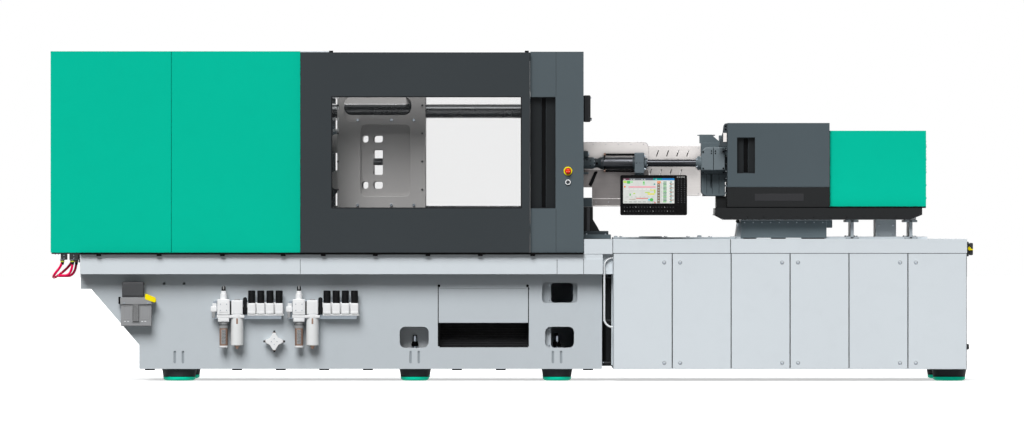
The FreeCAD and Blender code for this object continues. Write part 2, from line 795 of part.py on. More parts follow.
def gate_rails():
    rail = box("gate_rail_bar", (BED_LEFT, PILLAR_RIGHT),
               (f"-({GATE_FRONT} - 10)", f"-({GATE_FRONT} - 10 - gate_rail_deep)"),
               (f"{DECK} + 1", f"{COVER_LOW} - run_gap"))
    seat = box("cover_seat", (BED_LEFT, PILLAR_RIGHT), ("-(cover_half - 1)", "-(cover_half - 40)"),
               (DECK, COVER_LOW))
    bridge = box("gate_rail_bridge", (BED_LEFT, PILLAR_RIGHT), (f"-({GATE_FRONT} - 20)", "-(cover_half - 2)"),
                 (f"{DECK} + 1", f"{COVER_LOW} - 4"))
    pillar_seat = box("pillar_seat", (PILLAR_LEFT, PILLAR_RIGHT),
                      ("-(pillar_half - 1)", "-(pillar_half - pillar_seat_wide)"),
                      (DECK, COVER_LOW))
    tabs = []
    for number, place in enumerate((132, 560, 1008, 1440, 1724, 2093, 2466, 2838, 3209)):
        left = f"({BED_LEFT} + {place - 15})"
        tabs.append(box(f"gate_rail_tab_{number}", (left, f"{left} + rail_tab_wide"),
                        (f"-({GATE_FRONT} - 14)", "-(apron_half - 3)"),
                        (f"{DECK} - rail_tab_high", f"{DECK} + 2")))
    lower = join("gate_rail_lower", rail, seat, pillar_seat, bridge, *tabs)
    top = f"({COVER_LOW} + gate_high)"
    beam = box("gate_beam_bar", (f"{COVER_SEAM} + 60", f"{PILLAR_RIGHT} - 60"),
               ("-(cover_half - cover_wall)", "-(cover_half - cover_wall - beam_deep)"),
               (f"{top} - beam_high", f"{top} - 2"))
    pads = [
        box(f"gate_pad_{number}", span_about(f"({GATE_LEFT} + {place})", "20"),
            (f"-({GATE_BACK} - run_gap)", "-(cover_half - cover_wall - 4)"),
            (f"{top} - beam_high + 6", f"{top} - 8"))
        for number, place in enumerate((120, 813, 1506))
    ]
    hooks = [
        box(f"gate_hook_{number}", span_about(f"({GATE_LEFT} + {place})", "14"),
            (f"-({GATE_FRONT} - 12)", "-(cover_half - cover_wall - 10)"), (f"{top} + run_gap", f"{top} + 12"))
        for number, place in enumerate((216, 1604))
    ]
    hook_feet = [
        box(f"gate_hook_foot_{number}", span_about(f"({GATE_LEFT} + {place})", "14"),
            (f"-({GATE_BACK} - 1)", "-(cover_half - cover_wall - 10)"), (f"{top} - 10", f"{top} + 12"))
        for number, place in enumerate((216, 1604))
    ]
    upper = join("gate_rail_upper", beam, *pads, *hooks, *hook_feet)
    pieces = [*both_sides("gate_rail_lower_rear", lower), *both_sides("gate_rail_upper_rear", upper)]
    return finished("gate_rails", group("gate_rails_set", *pieces))


# ---------------------------------------------------------------- clamp covers
def cover_shell(name, left, right, closed_left):
    wall_left = f"{left} + cover_wall" if closed_left else f"{left} - 1"
    outer = box(name + "_outer", (left, right), ("-cover_half", "cover_half"), (COVER_LOW, COVER_TOP))
    inner = box(name + "_inner", (wall_left, f"{right} + 1"),
                ("-(cover_half - cover_wall)", "cover_half - cover_wall"),
                (f"{COVER_LOW} - 1", f"{COVER_TOP} - cover_wall"))
    return cut(name + "_shell", outer, inner)


def clamp_cover_left():
    return finished("clamp_cover_left", cover_shell("cover_left", COVER_LEFT, COVER_SEAM, True))


def clamp_cover_right():
    return finished("clamp_cover_right",
                    cover_shell("cover_right", f"{COVER_SEAM} + seam", COVER_RIGHT, False))


def pillar_cover():
    top = f"({COVER_LOW} + pillar_high)"
    outer = box("pillar_outer", (PILLAR_LEFT, PILLAR_RIGHT), ("-pillar_half", "pillar_half"),
                (COVER_LOW, top))
    inner = box("pillar_inner", (f"{PILLAR_LEFT} - 1", f"{PILLAR_RIGHT} - cover_wall"),
                ("-(pillar_half - cover_wall)", "pillar_half - cover_wall"),
                (f"{COVER_LOW} - 1", f"{top} - cover_wall"))
    port = box("pillar_port", (f"{PILLAR_RIGHT} - cover_wall - 1", f"{PILLAR_RIGHT} + 1"),
               ("-barrel_port_half", "barrel_port_half"),
               (f"{COVER_LOW} + barrel_port_low - 70", f"{COVER_LOW} + barrel_port_low + barrel_port_high"))
    foot_port = box("pillar_foot_port", (f"{PILLAR_RIGHT} - cover_wall - 1", f"{PILLAR_RIGHT} + 1"),
                    span_about("0", "stand_plate_half + stand_clear"),
                    (f"{COVER_LOW} - 1", f"{STAND_TOP} + stand_clear"))
    grip_z = (f"{COVER_LOW} + grip_low", f"{COVER_LOW} + grip_low + grip_high")
    niche_right = f"({PILLAR_LEFT} + grip_long)"
    niche_wall = box("pillar_niche_wall", (PILLAR_LEFT, f"{niche_right} + cover_wall"),
                     ("-pillar_half", "-(pillar_half - grip_deep - cover_wall)"),
                     (f"{grip_z[0]} - cover_wall", f"{grip_z[1]} + cover_wall"))
    niche = box("pillar_niche", (f"{PILLAR_LEFT} - 1", niche_right),
                ("-(pillar_half + 1)", "-(pillar_half - grip_deep)"),
                grip_z)
    slot_left = f"({PILLAR_LEFT} + grip_slot_left)"
    slot = box("pillar_slot", (slot_left, f"{slot_left} + grip_slot_wide"),
               ("-(pillar_half - grip_deep + 1)", "-(pillar_half - grip_deep - cover_wall - 1)"),
               (f"{grip_z[0]} + 4", f"{grip_z[1]} - 4"))
    shell = cut("pillar_shell", outer, inner, port, foot_port)
    rings, bores = switch_rings()
    return finished("pillar_cover",
                    cut("pillar_cased", join("pillar_with_niche", shell, niche_wall, *rings), niche,
                                        slot, *bores))


ESTOP_X = f"({PILLAR_LEFT} + estop_x)"
ESTOP_Z = f"({COVER_LOW} + estop_z)"
KEY_Z = f"({ESTOP_Z} - key_drop)"


def switch_rings():
    """The collars round the emergency stop and the key switch, and the holes through them."""
    collar_front = "-(pillar_half + collar_proud)"
    rings = [
        rod("estop_collar", "y", (collar_front, "-(pillar_half - 1)"), ESTOP_X, ESTOP_Z, "estop_collar_dia"),
        rod("key_collar", "y", (collar_front, "-(pillar_half - 1)"), ESTOP_X, KEY_Z, "key_collar_dia"),
    ]
    bores = [
        rod("estop_bore", "y", (f"{collar_front} - 1", "-(pillar_half - cover_wall - 1)"), ESTOP_X, ESTOP_Z,
            "estop_stem_dia + 2 * stem_clear"),
        rod("key_bore", "y", (f"{collar_front} - 1", "-(pillar_half - key_seat)"), ESTOP_X, KEY_Z,
            "key_plug_dia + 2 * stem_clear"),
    ]
    return rings, bores


def gate(name, side):
    """A sliding gate: a tray of sheet with a window, closed at the edges."""
    low, high = COVER_LOW, f"({COVER_LOW} + gate_high)"
    outer = box(name + "_outer", (GATE_LEFT, GATE_RIGHT), (f"-{GATE_FRONT}", f"-{GATE_BACK}"), (low, high))
    back = box(name + "_back", (f"{GATE_LEFT} + gate_thick", f"{GATE_RIGHT} - gate_thick"),
               (f"-({GATE_FRONT} - gate_skin)", f"-({GATE_BACK} - 1)"),
               (f"{low} + gate_thick", f"{high} - gate_thick"))
    extra = "rear_window_extra" if side == "rear" else "0"
    view_left = f"({GATE_LEFT} + gate_window_left)"
    view_low = f"({low} + gate_window_low - {extra})"
    view_high = f"({low} + gate_window_low + gate_window_high + {extra})"
    frame = box(name + "_frame", (f"{view_left} - gate_thick", f"{view_left} + gate_window_long + 2"),
                (f"-({GATE_FRONT} - 1)", f"-{GATE_BACK}"),
                (f"{view_low} - gate_thick", f"{view_high} + gate_thick"))
    view = box(name + "_view", (view_left, f"{view_left} + gate_window_long"),
               (f"-({GATE_FRONT} + 1)", f"-({GATE_BACK} - 1)"), (view_low, view_high))
    rebate = box(name + "_rebate", (f"{view_left} - 15", f"{view_left} + gate_window_long + 15"),
                 (f"-({GATE_FRONT} - 14)", f"-({GATE_BACK} - 1)"),
                 (f"{view_low} - 15", f"{view_high} + 15"))
    frame_right = box(name + "_stile", (f"{view_left} + gate_window_long", GATE_RIGHT),
                      (f"-({GATE_FRONT} - 1)", f"-{GATE_BACK}"), (f"{low} + 1", f"{high} - 1"))
    tray = cut(name + "_tray", outer, back)
    whole = cut(name + "_cut", join(name + "_framed", tray, frame, frame_right), view, rebate)
    pane = box(name + "_pane", (f"{view_left} - 14.7", f"{view_left} + gate_window_long + 14.7"),
               (f"-({GATE_FRONT} - 14 - run_gap)", f"-({GATE_FRONT} - 14 - run_gap - pane_thick)"),
               (f"{view_low} - 14.7", f"{view_high} + 14.7"))
    if side == "rear":
        whole = mirrored(name + "_turned", whole)
        pane = mirrored(name + "_pane_turned", pane)
    finished(name, whole)
    finished(name + "_window", pane)


# ---------------------------------------------------------------- clamp unit
def bar_rods(name, span, dia):
    return [
        rod(f"{name}_{'front' if y == '-' else 'rear'}_{'low' if z == '-' else 'high'}", "x", span,
            f"{y}{BAR}",
            f"{AXIS} {z} {BAR}", dia)
        for y in ("-", "+") for z in ("-", "+")
    ]


def tie_bars():
    left = f"({TAIL_BACK} - bar_nut_long - 30)"
    right = f"({PLATEN_BACK} + bar_nut_long)"
    bars = bar_rods("tie_bar", (left, right), "bar_dia")
    tail_nuts = bar_rods("tail_nut", (f"{TAIL_BACK} - bar_nut_long", TAIL_BACK), "bar_nut_dia")
    end_nuts = bar_rods("end_nut", (PLATEN_BACK, right), "bar_nut_dia")
    whole = [join(f"tie_bar_set_{number}", *trio) for number,
             trio in enumerate(zip(bars, tail_nuts, end_nuts))]
    return finished("tie_bars", group("tie_bars_set", *whole))


def platen_block(name, span):
    return rounded(name, "x", span_about("0", "platen_half"), span_about(AXIS, "platen_half"), span,
                   "bar_dia / 2")


def mould_bolts(name, span):
    """Tapped holes for clamping a mould, on two squares and the middle lines."""
    half = "(mould_bolt_pitch / 2)"
    spots = [(f"{y}{half}", f"{AXIS} {z} {half}") for y in ("-", "+") for z in ("-", "+")]
    return [rod(f"{name}_{number}", "x", span, y, z, "mould_bolt_dia") for number, (y, z) in enumerate(spots)]


def fixed_platen():
    back = PLATEN_BACK
    block = platen_block("fixed_block", (PLATEN_X, back))
    holes = bar_rods("fixed_bar_hole", (f"{PLATEN_X} - 1", f"{back} + 1"), "bar_dia + 2 * bar_clear")
    seat = rod("fixed_locating_bore", "x", (f"{PLATEN_X} - 1", f"{PLATEN_X} + locating_bore_deep"), "0", AXIS,
               "locating_bore_dia")
    passage = cone("fixed_nozzle_cone", "x", (PLATEN_X, f"{back} + 0.001"), "0", AXIS, "nozzle_cone_large",
                   "2 * nozzle_cone_large + nozzle_cone_small")
    bolts = mould_bolts("fixed_bolt", (f"{PLATEN_X} - 1", f"{PLATEN_X} + mould_bolt_deep"))
    foot_top = f"({AXIS} - platen_half)"
    foot = box("fixed_foot", (f"{PLATEN_X} + 30", f"{back}"), ("-platen_half + 40", "platen_half - 40"),
               (DECK, f"{foot_top} + 30"))
    stand_left = f"({PILLAR_RIGHT} - 14)"
    stand_y = ("-stand_half", "stand_half")
    stand = box("fixed_stand", (stand_left, f"{PILLAR_RIGHT} + 68"), stand_y,
                (f"{CABINET_TOP} + 30", STAND_TOP))
    nut_low = f"({AXIS} - {BAR} - bar_nut_dia / 2)"
    stand_web = box("fixed_stand_web", (f"{back} - 20", PILLAR_RIGHT), stand_y,
                    (f"{foot_top} - 20", f"{nut_low} - stand_clear"))
    stand_gusset = profile("fixed_stand_gusset", "y", [
        (f"{PILLAR_RIGHT} + 60", f"{CABINET_TOP} + 50"), (f"{PILLAR_RIGHT} + 120", f"{CABINET_TOP} + 50"),
        (f"{PILLAR_RIGHT} + 60", f"{CABINET_TOP} + 150"),
    ], stand_y)
    plates = join("fixed_stand_plates",
                  box("fixed_stand_plate_low", (f"{stand_left} + 20", f"{PILLAR_RIGHT} + 196"),
                      ("-stand_plate_half", "stand_plate_half"), (END_BLOCK_TOP, f"{CABINET_TOP} + 30")),
                  box("fixed_stand_plate_high", (stand_left, f"{PILLAR_RIGHT} + 178"),
                      ("-(stand_plate_half - 20)", "stand_plate_half - 20"),
                      (f"{CABINET_TOP} + 29", f"{CABINET_TOP} + 55")))
    window = box("fixed_stand_window", (f"{back} + 20", f"{PILLAR_RIGHT} + 200"),
                 ("-(stand_half - 100)", "stand_half - 100"), (f"{foot_top} + 40", f"{STAND_TOP} + 1"))
    body = cut("fixed_cut", join("fixed_cast", block, foot), *holes, seat, passage, *bolts)
    stands = cut("fixed_stands", join("fixed_stand_cast", stand, stand_web, stand_gusset, plates), window)
    return finished("fixed_platen", join("fixed_platen_cast", body, stands))


def ears(name, pivot, thick_from, thick_to, wall_from, wall_to):
    """A pair of pivot ears above and below the axis, at the same height as the toggle's pivots."""
    solids = []
    for level, sign in (("high", "+"), ("low", "-")):
        height = f"({AXIS} {sign} pivot_offset)"
        for side, pair in (("front", (f"-({thick_to})", f"-({thick_from})")),
                           ("rear", (thick_from, thick_to))):
            solids.append(rod(f"{name}_{level}_{side}_eye", "y", pair, pivot, height, "2 * ear_radius"))
            solids.append(box(f"{name}_{level}_{side}_arm", (wall_from, wall_to), pair,
                              span_about(height, "ear_radius")))
    return solids


def pivot_rods(name, span, pivot, dia):
    return [rod(f"{name}_{level}", "y", span, pivot, f"({AXIS} {sign} pivot_offset)", dia)
            for level, sign in (("high", "+"), ("low", "-"))]


def tail_platen():
    block = platen_block("tail_block", (TAIL_BACK, TAIL_FACE))
    holes = bar_rods("tail_bar_hole", (f"{TAIL_BACK} - 1", f"{TAIL_FACE} + 1"), "bar_dia + 2 * bar_clear")
    bore = rod("tail_spindle_bore", "x", (f"{TAIL_BACK} - 1", f"{TAIL_FACE} + 1"), "0", AXIS,
               "spindle_bore_dia")
    pair = ears("tail_ear", TAIL_PIVOT, "link_half + side_clear", "link_half + side_clear + tail_ear_thick",
                f"{TAIL_FACE} - 1", TAIL_PIVOT)
    reach = ("-(link_half + side_clear + tail_ear_thick)", "link_half + side_clear + tail_ear_thick")
    pins = pivot_rods("tail_pin", reach, TAIL_PIVOT, "pin_dia")
    feet = [
        box(f"tail_foot_{side}", (f"{TAIL_BACK} + 20", f"{TAIL_FACE} - 20"), span,
            (f"{DECK} + platen_rail_high", f"{AXIS} - platen_half + 30"))
        for side, span in (("front", span_about("(-platen_rail_y)", "tail_foot_wide / 2")),
                           ("rear", span_about("platen_rail_y", "tail_foot_wide / 2")))
    ]
    guide_rods = [
        rod(f"crosshead_guide_{side}", "x", (f"{TAIL_FACE} - 60", f"{TAIL_PIVOT} + guide_rod_reach"),
            f"{sign}guide_rod_y", AXIS, "guide_rod_dia")
        for side, sign in (("front", "-"), ("rear", "+"))
    ]
    cast = cut("tail_cut", join("tail_cast", block, *pair, *feet), *holes, bore)
    return finished("tail_platen", join("tail_platen_whole", cast, *pins, *guide_rods))


def eye_link(name, start, end, y_span, radius, waist):
    """A straight link between two eyes, each a place (x, z)."""
    (start_x, start_z), (end_x, end_z) = start, end
    eyes = [rod(f"{name}_eye_{number}", "y", y_span, x, z, f"2 * ({radius})")
            for number, (x, z) in enumerate((start, end))]
    bar = doc.addObject("Part::Box", name + "_bar")
    run_x, run_z = f"({end_x} - {start_x})", f"({end_z} - {start_z})"
    bind(bar, "Length", f"sqrt({run_x} * {run_x} + {run_z} * {run_z})")
    bind(bar, "Width", f"({y_span[1]}) - ({y_span[0]})")
    bind(bar, "Height", f"2 * ({waist})")
    slope = math.degrees(math.atan2(value(run_z), value(run_x)))
    bar.Placement = FreeCAD.Placement(FreeCAD.Vector(), FreeCAD.Rotation(FreeCAD.Vector(0, -1, 0), slope))
    unit_x = f"({run_x} / sqrt({run_x} * {run_x} + {run_z} * {run_z}))"
    unit_z = f"({run_z} / sqrt({run_x} * {run_x} + {run_z} * {run_z}))"
    bind(bar, "Placement.Rotation.Angle", f"atan2({run_z}; {run_x})")
    bind(bar, "Placement.Base.x", f"{start_x} + ({waist}) * {unit_z}")
    bind(bar, "Placement.Base.y", y_span[0])
    bind(bar, "Placement.Base.z", f"{start_z} - ({waist}) * {unit_x}")
    return [*eyes, bar]


def toggle_points(sign):
    """The pivots of the toggle above or below the axis."""
    level = f"({AXIS} {sign} pivot_offset)"
    return {
        "tail": (TAIL_PIVOT, level),
        "knee": (KNEE_X, f"({AXIS} {sign} (pivot_offset + {KNEE_RISE}))"),
        "platen": (PLATEN_PIVOT, level),
        "crank": (CRANK_X, f"({AXIS} {sign} (pivot_offset + {CRANK_RISE}))"),
        "cheek": (CHEEK_X, level),
    }


def rear_link(name, sign):
    points = toggle_points(sign)
    link = eye_link(name, points["tail"], points["knee"], ("-link_half", "link_half"), "link_radius",
                    "link_waist")
    bore = rod(name + "_bore", "y", ("-(link_half + 1)", "link_half + 1"), *points["tail"],
               "pin_dia + 2 * pin_clear")
    fork = rod(name + "_fork", "y", ("-fork_half", "fork_half"), *points["knee"], "4 * link_radius")
    body = cut(name + "_cut", join(name + "_bars", *link), bore, fork)
    knee_pin = rod(name + "_knee_pin", "y", ("-link_half", "link_half"), *points["knee"], "pin_dia")
    reach = "(cheek_out + 2 * side_clear + drive_link_thick)"
    crank_pin = rod(name + "_crank_pin", "y", (f"-{reach}", reach), *points["crank"], "drive_pin_dia")
    return finished(name, join(name + "_whole", body, knee_pin, crank_pin))


def front_link(name, sign):
    points = toggle_points(sign)
    half = "(fork_half - side_clear)"
    link = eye_link(name, points["knee"], points["platen"], (f"-{half}", half), "link_radius", "link_waist")
    clear = "pin_clear" if sign == "+" else "open_pin_clear"
    bores = [
        rod(name + "_knee_bore", "y", (f"-({half} + 1)", f"{half} + 1"), *points["knee"],
            "pin_dia + 2 * pin_clear"),
        rod(name + "_platen_bore", "y", (f"-({half} + 1)", f"{half} + 1"), *points["platen"],
            f"pin_dia + 2 * {clear}"),
    ]
    return finished(name, cut(name + "_whole", join(name + "_bars", *link), *bores))


def drive_link(name, sign):
    points = toggle_points(sign)
    inner, outer = "(cheek_out + side_clear)", "(cheek_out + side_clear + drive_link_thick)"
    clear = "pin_clear" if sign == "+" else "open_pin_clear"
    plates = []
    for side, span in (("front", (f"-{outer}", f"-{inner}")), ("rear", (inner, outer))):
        link = eye_link(f"{name}_{side}", points["crank"], points["cheek"], span, "drive_link_radius",
                        "drive_link_radius * 0.7")
        bores = [
            rod(f"{name}_{side}_crank_bore", "y", (f"{span[0]} - 1", f"{span[1]} + 1"), *points["crank"],
                "drive_pin_dia + 2 * pin_clear"),
            rod(f"{name}_{side}_cheek_bore", "y", (f"{span[0]} - 1", f"{span[1]} + 1"), *points["cheek"],
                f"drive_pin_dia + 2 * {clear}"),
        ]
        plates.append(cut(f"{name}_{side}_plate", join(f"{name}_{side}_bars", *link), *bores))
    return finished(name, group(name + "_pair", *plates))


def crosshead():
    inner = "(link_half + 10)"
    half_thick = "(crosshead_thick / 2)"
    middle_x = (f"{CHEEK_X} - crosshead_long / 2", f"{CHEEK_X} + crosshead_long / 2")
    beam = box("crosshead_beam", middle_x, ("-cheek_out", "cheek_out"), span_about(AXIS, half_thick))
    cheeks, pins = [], []
    for level, sign in (("high", "+"), ("low", "-")):
        height = f"({AXIS} {sign} pivot_offset)"
        for side, span in (("front", ("-cheek_out", f"-{inner}")), ("rear", (inner, "cheek_out"))):
            cheeks.append(rod(f"crosshead_{level}_{side}_eye", "y", span, CHEEK_X, height,
                              "2 * cheek_radius"))
            low, high = (AXIS, height) if sign == "+" else (height, AXIS)
            cheeks.append(box(f"crosshead_{level}_{side}_cheek", span_about(CHEEK_X, "cheek_radius"), span,
                              (low, high)))
            reach = "(cheek_out + 2 * side_clear + drive_link_thick)"
            pin_span = (f"-{reach}", f"-{inner}") if side == "front" else (inner, reach)
            pins.append(rod(f"crosshead_{level}_{side}_pin", "y", pin_span, CHEEK_X, height, "drive_pin_dia"))
    bores = [
        rod(f"crosshead_guide_bore_{side}", "x", (f"{middle_x[0]} - 1", f"{middle_x[1]} + 1"),
            f"{sign}guide_rod_y",
            AXIS, "guide_rod_dia + 2 * pin_clear")
        for side, sign in (("front", "-"), ("rear", "+"))
    ]
    body = cut("crosshead_cut", join("crosshead_cast", beam, *cheeks), *bores)
    return finished("crosshead", join("crosshead_whole", body, *pins))


def clamp_spindle():
    right = f"({CHEEK_X} - crosshead_long / 2)"
    return finished("clamp_spindle",
                    rod("clamp_spindle_rod", "x", (f"{right} - spindle_long", right), "0", AXIS,
                                         "spindle_dia"))


def clamp_motor():
    left = f"({TAIL_BACK} - clamp_motor_long)"
    barrel = rod("clamp_motor_barrel", "x", (left, TAIL_BACK), "0", AXIS, "clamp_motor_dia")
    flange = rounded("clamp_motor_flange", "x", span_about("0", "motor_flange_half"),
                     span_about(AXIS, "motor_flange_half"), (f"{TAIL_BACK} - motor_flange_thick", TAIL_BACK),
                     "motor_flange_thick")
    box_top = box("clamp_motor_terminals", (f"{left} + 160", f"{left} + 380"), ("-90", "90"),
                  (f"{AXIS} + clamp_motor_dia / 2 - 20", f"{AXIS} + clamp_motor_dia / 2 + 70"))
    bore = rod("clamp_motor_bore_hole", "x", (f"{left} + 20", f"{TAIL_BACK} + 1"), "0", AXIS,
               "clamp_motor_bore")
    return finished("clamp_motor",
                    cut("clamp_motor_whole", join("clamp_motor_cast", barrel, flange, box_top), bore))


def moving_platen():
    plate = platen_block("moving_plate", (f"{MOULD_FACE} - mould_plate_thick", MOULD_FACE))
    back = f"({PLATEN_PIVOT} - platen_back_inset + 70)"
    low, high = f"({AXIS} - platen_half)", f"({AXIS} + platen_half)"
    sides = [
        box(f"moving_side_{side}", (back, f"{MOULD_FACE} - mould_plate_thick + 1"), span, (low, high))
        for side, span in (("front", ("-platen_half", "-(platen_half - platen_side_wall)")),
                           ("rear", ("platen_half - platen_side_wall", "platen_half")))
    ]
    shelves = [
        box(f"moving_shelf_{level}",
            (f"{MOULD_FACE} - platen_pivot_back + 240", f"{MOULD_FACE} - mould_plate_thick + 1"),
            ("-(platen_half - 1)", "platen_half - 1"), span)
        for level, span in (("high", (f"{high} - 320", f"{high} - 260")),
                            ("low", (f"{low} + 260", f"{low} + 320")))
    ]
    pair = ears("moving_ear", PLATEN_PIVOT, "fork_half", "link_half", PLATEN_PIVOT,
                f"{MOULD_FACE} - mould_plate_thick + 1")
    pins = pivot_rods("moving_pin", ("-link_half", "link_half"), PLATEN_PIVOT, "pin_dia")
    holes = bar_rods("moving_bar_hole", (f"{back} - 1", f"{MOULD_FACE} + 1"), "bar_dia + 2 * bar_clear")
    bore = rod("moving_ejector_bore", "x", (f"{MOULD_FACE} - mould_plate_thick - 1", f"{MOULD_FACE} + 1"),
               "0", AXIS,
               "ejector_rod_dia + 2 * pin_clear")
    bolts = mould_bolts("moving_bolt", (f"{MOULD_FACE} - mould_bolt_deep", f"{MOULD_FACE} + 1"))
    shoes = [
        box(f"moving_shoe_{side}", (f"{MOULD_FACE} - 20 - platen_shoe_long", f"{MOULD_FACE} - 20"), span,
            (f"{DECK} + platen_rail_high + run_gap", f"{low} + 40"))
        for side, span in (("front", span_about("(-platen_rail_y)", "platen_shoe_wide / 2")),
                           ("rear", span_about("platen_rail_y", "platen_shoe_wide / 2")))
    ]
    cast = join("moving_cast", plate, *sides, *shelves, *pair, *shoes)
    outside = ("-(platen_half + 1)", "-(platen_half - side_pocket_deep)")
    pocket = rounded("moving_pocket", "y", (f"{MOULD_FACE} - 462", f"{MOULD_FACE} - 108"),
                     (f"{AXIS} - 250", f"{AXIS} + 262"), outside, "40")
    kidney = rounded("moving_kidney", "y", (f"{MOULD_FACE} - 580", f"{MOULD_FACE} - 100"),
                     (f"{AXIS} + 330", f"{AXIS} + 460"), ("-(platen_half + 1)", "-(platen_half - 180)"), "55")
    kidney_lobe = rounded("moving_kidney_lobe", "y", (f"{MOULD_FACE} - 580", f"{MOULD_FACE} - 460"),
                          (f"{AXIS} + 285", f"{AXIS} + 400"), outside, "54")
    through = ("-(platen_half + 1)", "platen_half + 1")
    ports = [
        rounded("moving_port_middle", "y", (f"{MOULD_FACE} - 371", f"{MOULD_FACE} - 304"),
                (f"{AXIS} - 95", f"{AXIS} + 85"), through, "10"),
    ]
    for name, height in (("high", 162), ("low", -168)):
        for number, (left, right) in enumerate(((452, 407), (371, 304))):
            ports.append(rounded(f"moving_port_{name}_{number}", "y",
                                 (f"{MOULD_FACE} - {left}", f"{MOULD_FACE} - {right}"),
                                 span_about(f"({AXIS} + {height})", "26"), through, "18"))
    body = cut("moving_cut", cast, *holes, bore, *bolts, pocket, kidney, kidney_lobe, *ports)
    return finished("moving_platen", join("moving_whole", body, *pins))


def ejector():
    back = f"({MOULD_FACE} - mould_plate_thick - ejector_plate_back)"
    plate = box("ejector_plate", (back, f"{back} + ejector_plate_thick"),
                ("-(fork_half - 12)", "fork_half - 12"),
                span_about(AXIS, "pivot_offset - ear_radius - 8"))
    push_rod = rod("ejector_rod", "x", (f"{back} + 1", f"{MOULD_FACE} - 2"), "0", AXIS, "ejector_rod_dia")
    return finished("ejector", join("ejector_whole", plate, push_rod))


# ---------------------------------------------------------------- rails and feet
def guide_rails():
    pieces = []
    for side, sign in (("front", "-"), ("rear", "+")):
        pieces.append(box(f"platen_rail_{side}", (f"{TAIL_BACK} - 20", f"{PLATEN_X} + 10"),
                          span_about(f"({sign}platen_rail_y)", "platen_rail_wide / 2"),
                          (DECK, f"{DECK} + platen_rail_high")))
        pieces.append(box(f"carriage_rail_{side}", (f"{TRAY_LEFT} + 60", f"{TRAY_RIGHT} - 40"),
                          span_about(f"({sign}carriage_rail_y)", "carriage_rail_wide / 2"),
                          (f"{SUPPORT_LOW} + support_high - 2", f"{TRAY_LOW} - 2 + carriage_rail_high")))
    return finished("guide_rails", group("guide_rails_set", *pieces))


def levelling_holes(name, keys):
    """Holes in a floor plate for the screws of the feet under it."""
    return [
        rod(f"{name}_{key}_{'front' if sign == '-' else 'rear'}", "z",
            (f"{BED_LOW} - 1", f"{BED_LOW} + bed_wall + 1"),
            FOOT_MIDDLES[key], f"{sign}{FOOT_Y}", "levelling_screw_dia + 1")
        for key in keys for sign in ("-", "+")
    ]


def foot_housings():
    """Each foot is a cup with a levelling screw through the floor plate and a nut on top of it."""
    feet = []
    nut_low = f"({BED_LOW} + bed_wall)"
    for key, middle in FOOT_MIDDLES.items():
        dia = "end_foot_dia" if key in ("one", "four") else "mid_foot_dia"
        for side, sign in (("front", "-"), ("rear", "+")):
            name = f"foot_{key}_{side}"
            place = (middle, f"{sign}{FOOT_Y}")
            cup = cone(name + "_cup", "z", ("pad_high", BED_LOW), *place, f"{dia} - foot_flare", dia)
            screw = rod(name + "_screw", "z", (f"{BED_LOW} - 1", f"{nut_low} + levelling_screw_long"), *place,
                        "levelling_screw_dia")
            nut = rod(name + "_nut", "z", (nut_low, f"{nut_low} + levelling_screw_dia"), *place,
                      "levelling_screw_dia * 1.8")
            feet.append(join(name, cup, screw, nut))
    return finished("foot_housings", group("foot_housings_set", *feet))


def foot_pads():
    pads = []
    for key, middle in FOOT_MIDDLES.items():
        dia = "end_foot_dia" if key in ("one", "four") else "mid_foot_dia"
        for side, sign in (("front", "-"), ("rear", "+")):
            pads.append(rod(f"pad_{key}_{side}", "z", ("0", "pad_high"), middle, f"{sign}{FOOT_Y}",
                            f"{dia} - pad_inset"))
    return finished("foot_pads", group("foot_pads_set", *pads))


# ---------------------------------------------------------------- cabinet
def door_span(number):
    left = f"({CABINET_LEFT} + door_gap + {number} * (door_wide + door_gap))"
    return left, f"({left} + door_wide)"


DOOR_LOW = f"({BED_LOW} + cabinet_base)"
DOOR_TOP = f"({DOOR_LOW} + door_high)"
CARCASS_FRONT = "(-(apron_half - door_thick - run_gap))"


def cabinet_frame():
    outer = box("cabinet_outer", (CABINET_LEFT, CABINET_RIGHT), (CARCASS_FRONT, "cabinet_back_half"),
                (BED_LOW, f"{CABINET_TOP} - deck_plate"))
    rooms = []
    for number in range(3):
        left = f"({CABINET_LEFT} + cabinet_wall + {2 * number} * (door_wide + door_gap))"
        if number:
            left = f"({CABINET_LEFT} + {2 * number} * (door_wide + door_gap) + cabinet_wall / 2)"
        right = f"({CABINET_LEFT} + {2 * number + 2} * (door_wide + door_gap) - cabinet_wall / 2)"
        rooms.append(box(f"cabinet_room_{number}", (left, right),
                         (f"{CARCASS_FRONT} - 1", "cabinet_back_half - cabinet_wall"),
                         (f"{BED_LOW} + bed_wall", f"{DOOR_TOP} - cabinet_wall")))
    band = box("cabinet_band", (CABINET_LEFT, CABINET_RIGHT), ("-apron_half", f"{CARCASS_FRONT} + 1"),
               (f"{DOOR_TOP} + door_gap", f"{CABINET_TOP} - deck_plate"))
    plinth = box("cabinet_plinth", (CABINET_LEFT, CABINET_RIGHT), ("-apron_half", f"{CARCASS_FRONT} + 1"),
                 (BED_LOW, f"{DOOR_LOW} - run_gap"))
    seam = box("cabinet_band_seam", span_about(f"({CABINET_LEFT} + 2 * (door_wide + door_gap))", "seam / 2"),
               ("-(apron_half + 1)", "-(apron_half - 3)"), (f"{DOOR_TOP}", f"{CABINET_TOP}"))
    return finished("cabinet_frame",
                    cut("cabinet_carcass", join("cabinet_welded", outer, band, plinth), *rooms, seam,
                                         *levelling_holes("cabinet_levelling_hole", ("four",))))


